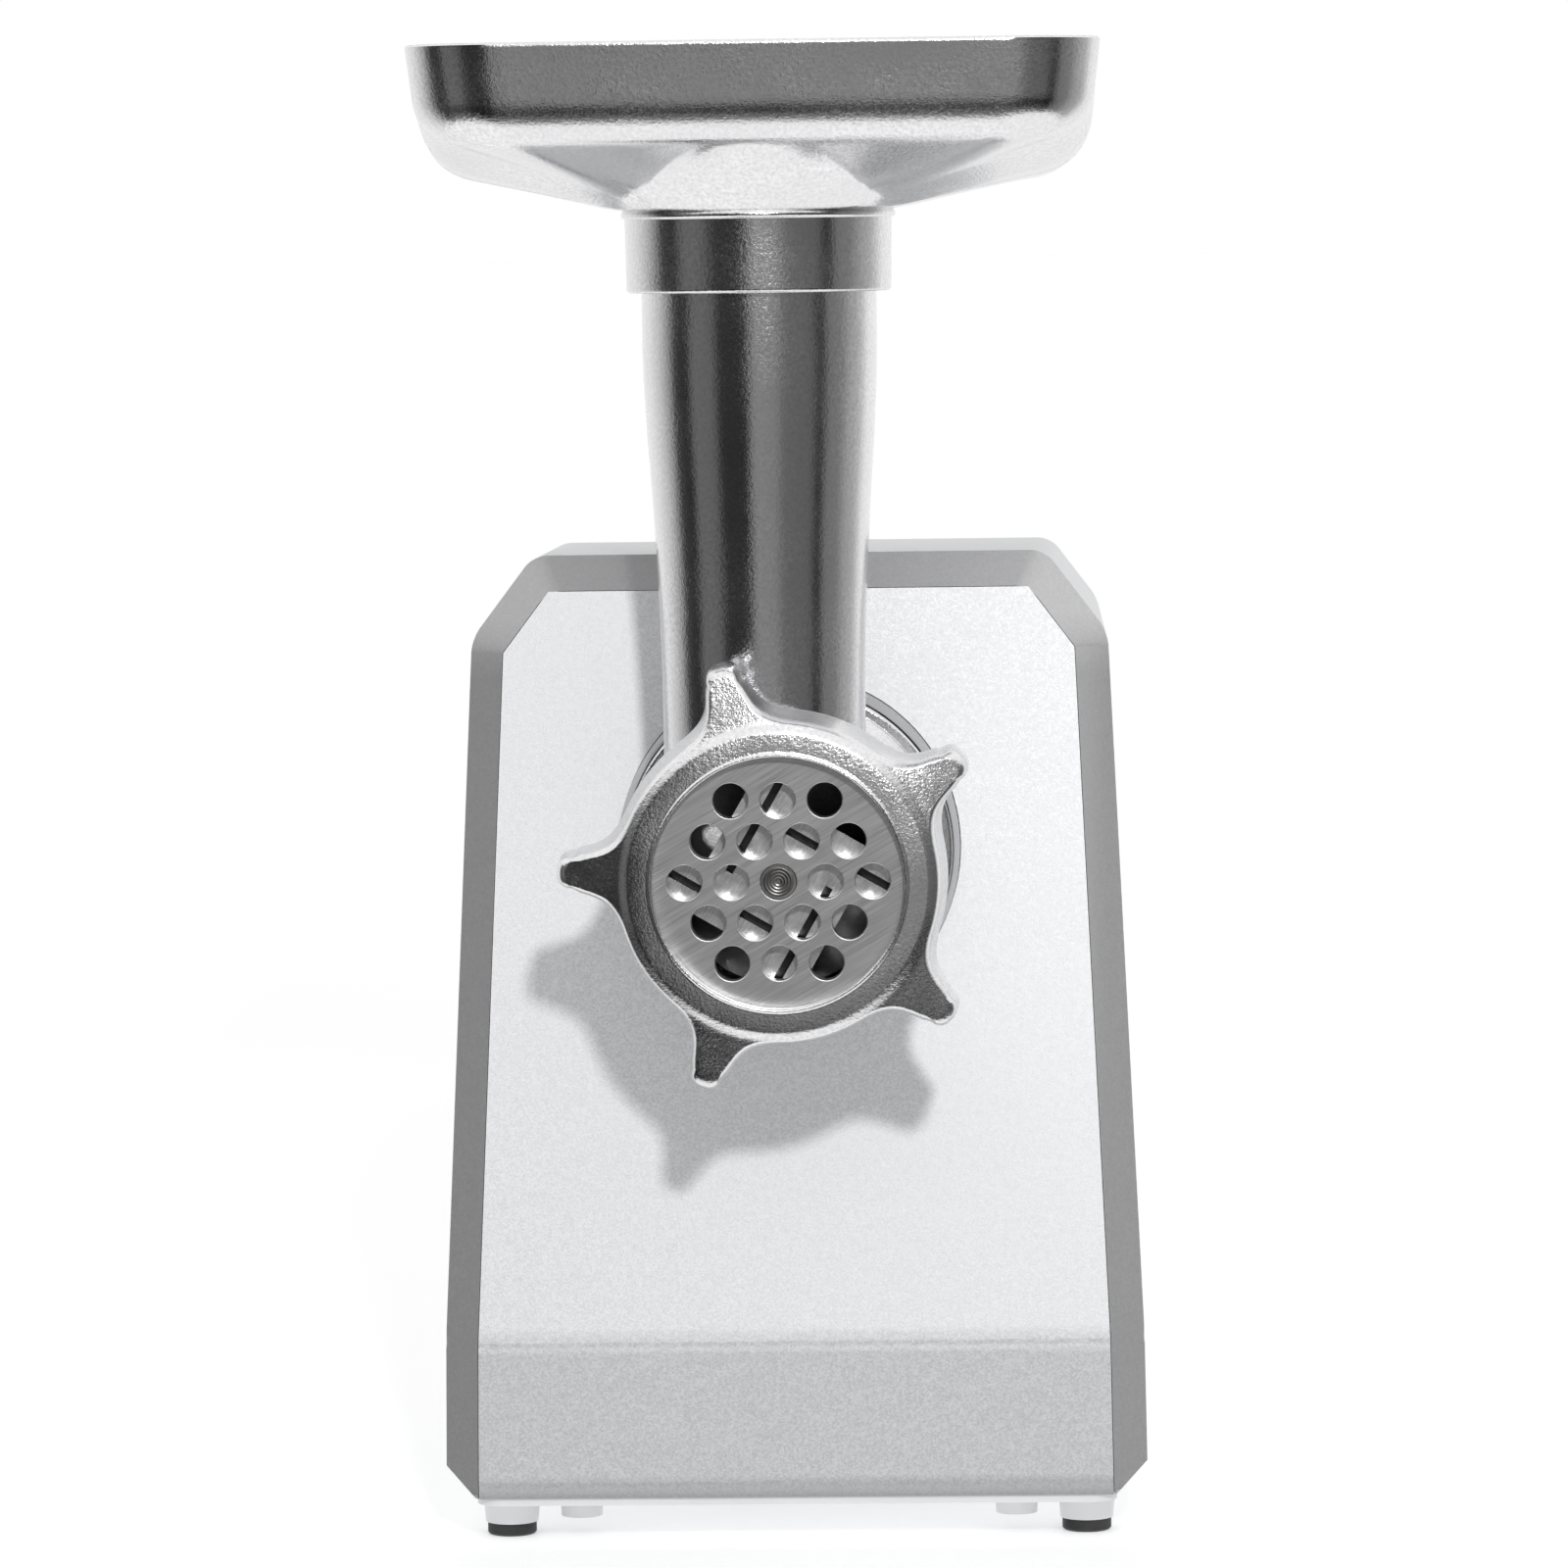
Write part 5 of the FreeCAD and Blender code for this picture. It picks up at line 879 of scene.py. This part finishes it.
def make_nut():
    outline = nut_outline(RIM_R - 0.3, TIP_R - 1.5, 2.75, 20.5)
    edge = nut_outline(RIM_R + 0.3, TIP_R - 0.8, 3.3, 21.0)
    waist = nut_outline(RIM_R + 0.7, TIP_R - 0.4, 3.6, 21.5)
    back = nut_outline(BACK_R, TIP_R, 4.0, 22.0)
    back_in = nut_outline(BACK_R - 0.5, TIP_R - 0.6, 3.5, 21.5)
    crest = circle_like(outline, CREST_R)
    rings = [
        nut_ring(circle_like(outline, OPENING_R), LIP_BACK_Y),
        nut_ring(circle_like(outline, OPENING_R), FRONT_Y + 1.3),
    ]
    for out, depth in BEAD:
        rings.append(nut_ring(circle_like(outline, OPENING_R + out), FRONT_Y + depth))
    rings.append(nut_ring(crest, nut_front))
    for t in FACE_SHARES:
        rings.append(nut_ring(mix_rings(crest, outline, t), nut_front))
    rings.append(nut_ring(mix_rings(outline, edge, 0.55), lambda r: nut_front(r) + 0.45))
    rings.append(nut_ring(edge, lambda r: nut_front(r) + 1.3))
    rings.append(nut_ring(waist, lambda r: nut_front(r) + 3.0))
    rings.append(nut_ring(mix_rings(waist, back, 0.9), NUT_BACK_Y - 1.2))
    rings.append(nut_ring(back, NUT_BACK_Y - 0.5))
    rings.append(nut_ring(back_in, NUT_BACK_Y - 0.02))
    rings.append(nut_ring(circle_like(outline, THREAD_R + 0.6), NUT_BACK_Y - 0.02))
    for i in range(NUT_TURNS):
        y = NUT_BACK_Y - 0.8 - i * THREAD_PITCH
        rings.append(nut_ring(circle_like(outline, THREAD_R + 0.05), y))
        rings.append(nut_ring(circle_like(outline, THREAD_R + 0.85), y - THREAD_PITCH / 2))
    rings.append(nut_ring(circle_like(outline, THREAD_R), LIP_BACK_Y + 1.0))
    rings.append(nut_ring(circle_like(outline, THREAD_R), LIP_BACK_Y))
    nut = loft("ring_nut_body", rings, CAST_SMOOTH, closed=True)
    stand_for(nut, "ring_nut", MATERIALS["nut_aluminium"])


# ---- head casting -------------------------------------------------------------------------------------

BARREL_R = 29.4
BORE_R = 26.1
THROAT_LOW_R = 23.0
THROAT_BORE = 20.6
THROAT_RIM_R = 26.7
THROAT_FILLET = 5.0
FILLET_STEPS = 6

# (radius, height) of the throat's bore from the bottom up, and of its outside from the top down.
THROAT_INSIDE = [(THROAT_BORE, 200.0), (THROAT_BORE + 1.2, 240.0), (PASSAGE_R, 281.0),
                 (PASSAGE_R, THROAT_TOP_Z - 0.4), (PASSAGE_R + 0.4, THROAT_TOP_Z)]
THROAT_OUTSIDE = [(THROAT_RIM_R - 0.4, THROAT_TOP_Z), (THROAT_RIM_R, THROAT_TOP_Z - 0.4),
                  (THROAT_RIM_R, THROAT_TOP_Z - 0.7), (THROAT_RIM_R, THROAT_TOP_Z - 1.5),
                  (THROAT_RIM_R, 300.0), (THROAT_RIM_R, 290.0), (THROAT_RIM_R, 281.0), (26.5, 274.0),
                  (25.9, 262.0), (24.9, 248.0), (24.2, 236.0), (23.6, 222.0), (23.2, 208.0)]
THROAT_HOLE_Z = (170.0, 215.0)

# The barrel's thread, its seat for the plate, and its hub, which cones out to a flange that meets the socket.
CREST_THREAD_R = 34.0
THREAD_DEPTH = 0.8
HEAD_TURNS = 8
THREAD_LENGTH = 12.0
SEAT_R = 31.2
SEAT_Y = -117.4
CONE_START_Y = -62.0
CONE_END_Y = -52.0
CONE_END_R = 35.8
FLANGE_R = 38.25
FLANGE_FRONT_Y = -50.5
FLANGE_BACK_Y = -46.85
HUB_R = 36.3
HUB_BORE = 31.5
BEARING_BORE = 11.0
WALL_FRONT_Y = -58.0
WALL_BACK_Y = -50.0

# The bayonet lugs: (radius, y) corners of the section, and the angle that each covers.
LUGS = 3
LUG_SECTION = [(35.0, -25.1), (38.05, -25.1), (38.05, -20.9), (35.0, -20.9)]
LUG_SPAN = 29.0
LUG_STEPS = 12


def barrel_top(x):
    """Height of the barrel's outer surface above a given x."""
    across = min(abs(x - AXIS_X), BARREL_R - 0.4)
    return AXIS_Z + math.sqrt(BARREL_R ** 2 - across ** 2)


def make_throat():
    rings = [throat_ring(THROAT_BORE, lambda x: barrel_top(x) - 2.2)]
    rings += [throat_ring(r, z) for r, z in THROAT_INSIDE + THROAT_OUTSIDE]
    for i in range(FILLET_STEPS + 1):
        a = math.radians(90.0 * i / FILLET_STEPS)
        out = THROAT_FILLET * (1 - math.cos(a)) * 0.9
        rise = THROAT_FILLET * (1 - math.sin(a)) * 1.3
        rings.append(throat_ring(THROAT_LOW_R + out, lambda x, rise=rise: barrel_top(x) + rise))
    rings.append(throat_ring(THROAT_LOW_R + THROAT_FILLET * 0.6, lambda x: barrel_top(x) - 1.6))
    return loft("throat_body", rings, CAST_SMOOTH, closed=True)


def barrel_profile():
    """(radius, y) points: back along the outside from the open end, then forward along the inside."""
    crest = CREST_THREAD_R
    profile = [(SEAT_R, HEAD_LOW.y + 0.5), (31.6, HEAD_LOW.y), (33.2, HEAD_LOW.y), (33.9, HEAD_LOW.y + 0.8)]
    for i in range(HEAD_TURNS):
        y = NUT_BACK_Y - THREAD_LENGTH + i * THREAD_PITCH
        profile += [(crest, y), (crest - THREAD_DEPTH, y + THREAD_PITCH / 2)]
    profile.append((crest, NUT_BACK_Y + 2.0))
    profile += rounded([
        (crest, NUT_BACK_Y + 2.5),
        (BARREL_R, NUT_BACK_Y + 8.0),
        (BARREL_R, CONE_START_Y),
        (CONE_END_R, CONE_END_Y),
        (CONE_END_R + 0.1, FLANGE_FRONT_Y),
        (FLANGE_R, FLANGE_FRONT_Y),
        (FLANGE_R, FLANGE_BACK_Y),
        (HUB_R, FLANGE_BACK_Y),
        (HUB_R, HEAD_HIGH.y),
    ], [0.0, 5.0, 5.0, 1.2, 0.3, 0.9, 0.3, 0.3, 0.0], closed=False)
    profile += [(HUB_BORE, HEAD_HIGH.y), (HUB_BORE, WALL_BACK_Y), (BEARING_BORE, WALL_BACK_Y)]
    profile += [(BEARING_BORE, WALL_FRONT_Y), (BORE_R, WALL_FRONT_Y), (BORE_R, SEAT_Y), (SEAT_R, SEAT_Y)]
    return profile


def make_barrel():
    barrel = lathe_y("barrel_body", barrel_profile())
    low, high = THROAT_HOLE_Z
    cutter = lathe_z("cutter", [(0.01, low), (THROAT_BORE, low), (THROAT_BORE, high), (0.01, high)])
    cut = barrel.modifiers.new("throat_hole", "BOOLEAN")
    cut.operation = "DIFFERENCE"
    cut.solver = "EXACT"
    cut.object = cutter
    apply_modifiers(barrel)
    bpy.data.objects.remove(cutter)
    shade(barrel.data, 40.0)
    return barrel


def make_lugs():
    """Bayonet lugs on the hub, as rounded blocks bent round it."""
    section = rounded(LUG_SECTION, 0.5, 2)
    for k in range(LUGS):
        start = 360.0 / LUGS * k - LUG_SPAN / 2
        rings = []
        for i in range(LUG_STEPS + 1):
            a = math.radians(start + LUG_SPAN * i / LUG_STEPS)
            rings.append([(AXIS_X + r * math.cos(a), y, AXIS_Z + r * math.sin(a)) for r, y in section])
        lug = loft("bayonet_lug_%d" % k, rings)
        close_ends(lug)
        join_head(lug)


def join_head(obj):
    """Makes an extra piece part of the head casting."""
    dress(obj, MATERIALS["cast_aluminium"])
    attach(obj, "head")


def close_ends(obj):
    """Fills the two open ends of a loft."""
    bm = bmesh.new()
    bm.from_mesh(obj.data)
    bmesh.ops.holes_fill(bm, edges=[e for e in bm.edges if e.is_boundary])
    bmesh.ops.recalc_face_normals(bm, faces=bm.faces)
    bm.to_mesh(obj.data)
    bm.free()


def make_head():
    stand_for(make_throat(), "head_casting", MATERIALS["cast_aluminium"])
    join_head(make_barrel())
    make_lugs()


# ---- cutting plate ------------------------------------------------------------------------------------

# (radius, depth behind the plate's front) round the pin's end.
PIN_PROFILE = [(0.02, 0.05), (0.5, -0.05), (3.3, -0.05), (3.85, 0.35), (3.85, 2.0), (0.02, 2.0)]


def make_pin_end():
    """Turned end of the auger's pin in the middle of the plate."""
    pin = lathe_y("pin_end", [(r, PLATE_LOW.y + depth) for r, depth in PIN_PROFILE], segments=96)
    dress(pin, MATERIALS["turned_end"])
    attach(pin, "output")


# ---- nodes kept or softened ---------------------------------------------------------------------------

# Width of each softened node's edge rounds, and reach of the larger rounds on the housing's upper corners.
SOFTENED = {
    "front_panel": (0.5, 0.0),
    "front_bezel": (0.6, 3.2),
    "rear_housing": (0.6, 3.2),
    "base_plate": (0.5, 0.0),
    "socket_ring": (0.4, 0.0),
    "control_panel": (0.5, 0.0),
    "power_rocker": (0.5, 0.0),
    "reverse_button": (0.5, 0.0),
    "cutting_plate": (0.25, 0.0),
    "knife": (0.2, 0.0),
    "cord_gland": (0.4, 0.0),
}
RESHAPED = {"front_panel": soft_front, "front_bezel": soft_front}
MADE_HERE = {"feed_tray", "ring_nut", "head_casting"}

# Nodes whose finish differs from the others of their material; the knife's is painted dark behind its front
# faces, as painted shade.
FINISHES = {"knife": "blade_steel"}


def finish_of_node(node):
    return MATERIALS[FINISHES.get(node, slot_of_node(node))]


def finish_nodes():
    """Softens some CAD nodes, and gives the others their finish as they are."""
    for node, (width, corner_reach) in SOFTENED.items():
        piece = softened(node, width, corner_reach, RESHAPED.get(node))
        stand_for(piece, node, finish_of_node(node))
    for node, obj in frame["nodes"].items():
        if node in SOFTENED or node in MADE_HERE:
            continue
        for slot in obj.material_slots:
            slot.material = finish_of_node(node)


# ---- stage, light and camera --------------------------------------------------------------------------

CAMERA_PLACE = (50.0, FRONT_Y - 1600.0, 309.5)
CAMERA_LENS = 166.3
CAMERA_YAW = 1.73
CAMERA_DOWN = 4.43
CAMERA_ROLL = -0.75

WHITE = (1.0, 1.0, 1.0)
AMBIENT = 0.62
FLOOR_HALF = 60000.0
FLOOR_GLOW = 0.36
KEY_DIRECTION = Vector((0.126, -1.0, 0.41))
KEY_DISTANCE = 1900.0
KEY_WIDTH = 100.0
KEY_WATTS = 9.5

# Dark and bright cards round the set, which only reflections see: (degrees round from the camera's side, with
# the right-hand side positive, and brightness).
CARDS = [
    (-180, 0.95), (-136, 0.85), (-116, 0.62), (-100, 0.30), (-93, 0.05), (-74, 0.02), (-70, 0.15),
    (-46, 0.13), (-40, 0.03), (-11, 0.025), (-7, 0.25), (18, 0.22), (24, 0.14), (56, 0.12), (61, 0.03),
    (68, 0.05), (72, 0.18), (90, 0.20), (100, 0.34), (118, 0.45), (136, 0.9), (180, 0.95),
]

CARD_GAIN = 1.05

# Share of the cards' brightness that is kept at each height (sine of the elevation) in front of the object.
LEVELS = [(-1.0, 0.7), (-0.50, 0.7), (-0.46, 0.12), (-0.34, 0.12), (-0.28, 1.0), (1.0, 1.0)]

# Parts of a direction, forward and then upward, over which the front begins, and the ceiling and the table
# turn white.
AHEAD = (0.1, 0.5)
CEILING = (0.30, 0.46)
TABLE = (-0.62, -0.69)


def make_stage():
    """Pale floor that glows a little, so that it stays as white as the background."""
    corners = [(x * FLOOR_HALF, y * FLOOR_HALF, 0) for x, y in ((-1, -1), (1, -1), (1, 1), (-1, 1))]
    floor = new_object("floor", corners, [(0, 1, 2, 3)])
    r = Recipe("floor_material", (0.92, 0.92, 0.92), 0.0, 0.55)
    r.tint(r.spread(r.noise(3.0, 3.0), 0.985, 1.015))
    r.bump(r.noise(300.0, 3.0), 0.05)
    r.set(Emission_Color=(*WHITE, 1.0), Emission_Strength=FLOOR_GLOW)
    dress(floor, r.material)
    floor.visible_glossy = False


def brightness_ramp(graph, value, stops):
    """Brightness for a value between 0 and 1, from (position, brightness) stops."""
    made = graph.node("ShaderNodeValToRGB")
    elements = made.color_ramp.elements
    elements.remove(elements[-1])
    for k, (position, brightness) in enumerate(stops):
        element = elements[0] if k == 0 else elements.new(position)
        element.position = position
        element.color = (brightness, brightness, brightness, 1.0)
    graph.link(value, made.inputs[0])
    return made.outputs["Color"]


def reflected_color(graph, direction):
    """What reflections see in a direction: the cards, between a white ceiling and a white table."""
    forward = graph.math("MULTIPLY", direction["Y"], -1.0)
    angle = graph.math("ARCTAN2", direction["X"], forward)
    around = graph.math("MULTIPLY_ADD", angle, 1 / TAU, 0.5)
    cards = brightness_ramp(graph, around, [(degrees / 360.0 + 0.5, value) for degrees, value in CARDS])
    height = graph.math("MULTIPLY_ADD", direction["Z"], 0.5, 0.5)
    levels = brightness_ramp(graph, height, [(z / 2 + 0.5, value) for z, value in LEVELS])
    ahead = graph.spread(forward, 0.0, 1.0, *AHEAD)
    missing = graph.math("MULTIPLY", graph.math("SUBTRACT", 1.0, levels), ahead)
    dimmed = graph.node("ShaderNodeVectorMath", operation="SCALE")
    graph.link(cards, dimmed.inputs[0])
    graph.link(graph.math("SUBTRACT", 1.0, missing), dimmed.inputs["Scale"])
    above = graph.spread(direction["Z"], 0.0, 1.0, *CEILING)
    below = graph.spread(direction["Z"], 0.0, 1.0, *TABLE)
    mixed_color = graph.node("ShaderNodeMix", data_type="RGBA")
    graph.link(graph.math("MAXIMUM", above, below), mixed_color.inputs["Factor"])
    graph.link(dimmed.outputs[0], mixed_color.inputs["A"])
    mixed_color.inputs["B"].default_value = (*WHITE, 1.0)
    return mixed_color.outputs["Result"]


def background(graph, color, strength):
    """Background shader of a fixed colour or of another node's."""
    made = graph.node("ShaderNodeBackground")
    made.inputs["Strength"].default_value = strength
    if isinstance(color, tuple):
        made.inputs["Color"].default_value = (*color, 1.0)
    else:
        graph.link(color, made.inputs["Color"])
    return made.outputs[0]


def mix_shaders(graph, factor, a, b):
    made = graph.node("ShaderNodeMixShader")
    for output, socket in zip((factor, a, b), made.inputs):
        graph.link(output, socket)
    return made.outputs[0]


def make_world():
    """White behind the object, soft even light on it, and the cards in its reflections."""
    world = bpy.data.worlds.new("studio")
    world.use_nodes = True
    bpy.context.scene.world = world
    world.node_tree.nodes.clear()
    graph = Graph(world.node_tree)
    output = graph.node("ShaderNodeOutputWorld")
    direction = graph.axes(graph.node("ShaderNodeTexCoord").outputs["Generated"])
    rays = graph.node("ShaderNodeLightPath").outputs
    soft = background(graph, WHITE, AMBIENT)
    cards = background(graph, reflected_color(graph, direction), CARD_GAIN)
    lit = mix_shaders(graph, rays["Is Glossy Ray"], soft, cards)
    seen = mix_shaders(graph, rays["Is Camera Ray"], lit, background(graph, WHITE, 1.0))
    graph.link(seen, output.inputs["Surface"])


def make_lights():
    """One soft disk light, high on the camera's side and a little to the right."""
    centre = Vector((AXIS_X, FRONT_Y, AXIS_Z)) * MM
    key = bpy.data.lights.new("key", "AREA")
    key.shape = "DISK"
    key.size = KEY_WIDTH * MM
    key.energy = KEY_WATTS
    place = centre + KEY_DIRECTION.normalized() * KEY_DISTANCE * MM
    obj = bpy.data.objects.new("key", key)
    obj.location = place
    obj.rotation_mode = "QUATERNION"
    obj.rotation_quaternion = (centre - place).to_track_quat("-Z", "Y")
    bpy.context.collection.objects.link(obj)


def make_camera():
    data = bpy.data.cameras.new("camera")
    data.lens = CAMERA_LENS
    data.sensor_width = 36.0
    data.clip_start = 0.05
    data.clip_end = 200.0
    camera = bpy.data.objects.new("camera", data)
    camera.rotation_mode = "QUATERNION"
    turn = (Matrix.Rotation(math.radians(CAMERA_YAW), 3, "Z")
            @ Matrix.Rotation(math.radians(90.0 - CAMERA_DOWN), 3, "X")
            @ Matrix.Rotation(math.radians(CAMERA_ROLL), 3, "Z"))
    camera.location = Vector(CAMERA_PLACE) * MM
    camera.rotation_quaternion = turn.to_quaternion()
    bpy.context.collection.objects.link(camera)
    bpy.context.scene.camera = camera
    bpy.context.scene.view_settings.view_transform = "Standard"


make_tray()
make_nut()
make_head()
make_pin_end()
finish_nodes()
make_stage()
make_world()
make_lights()
make_camera()
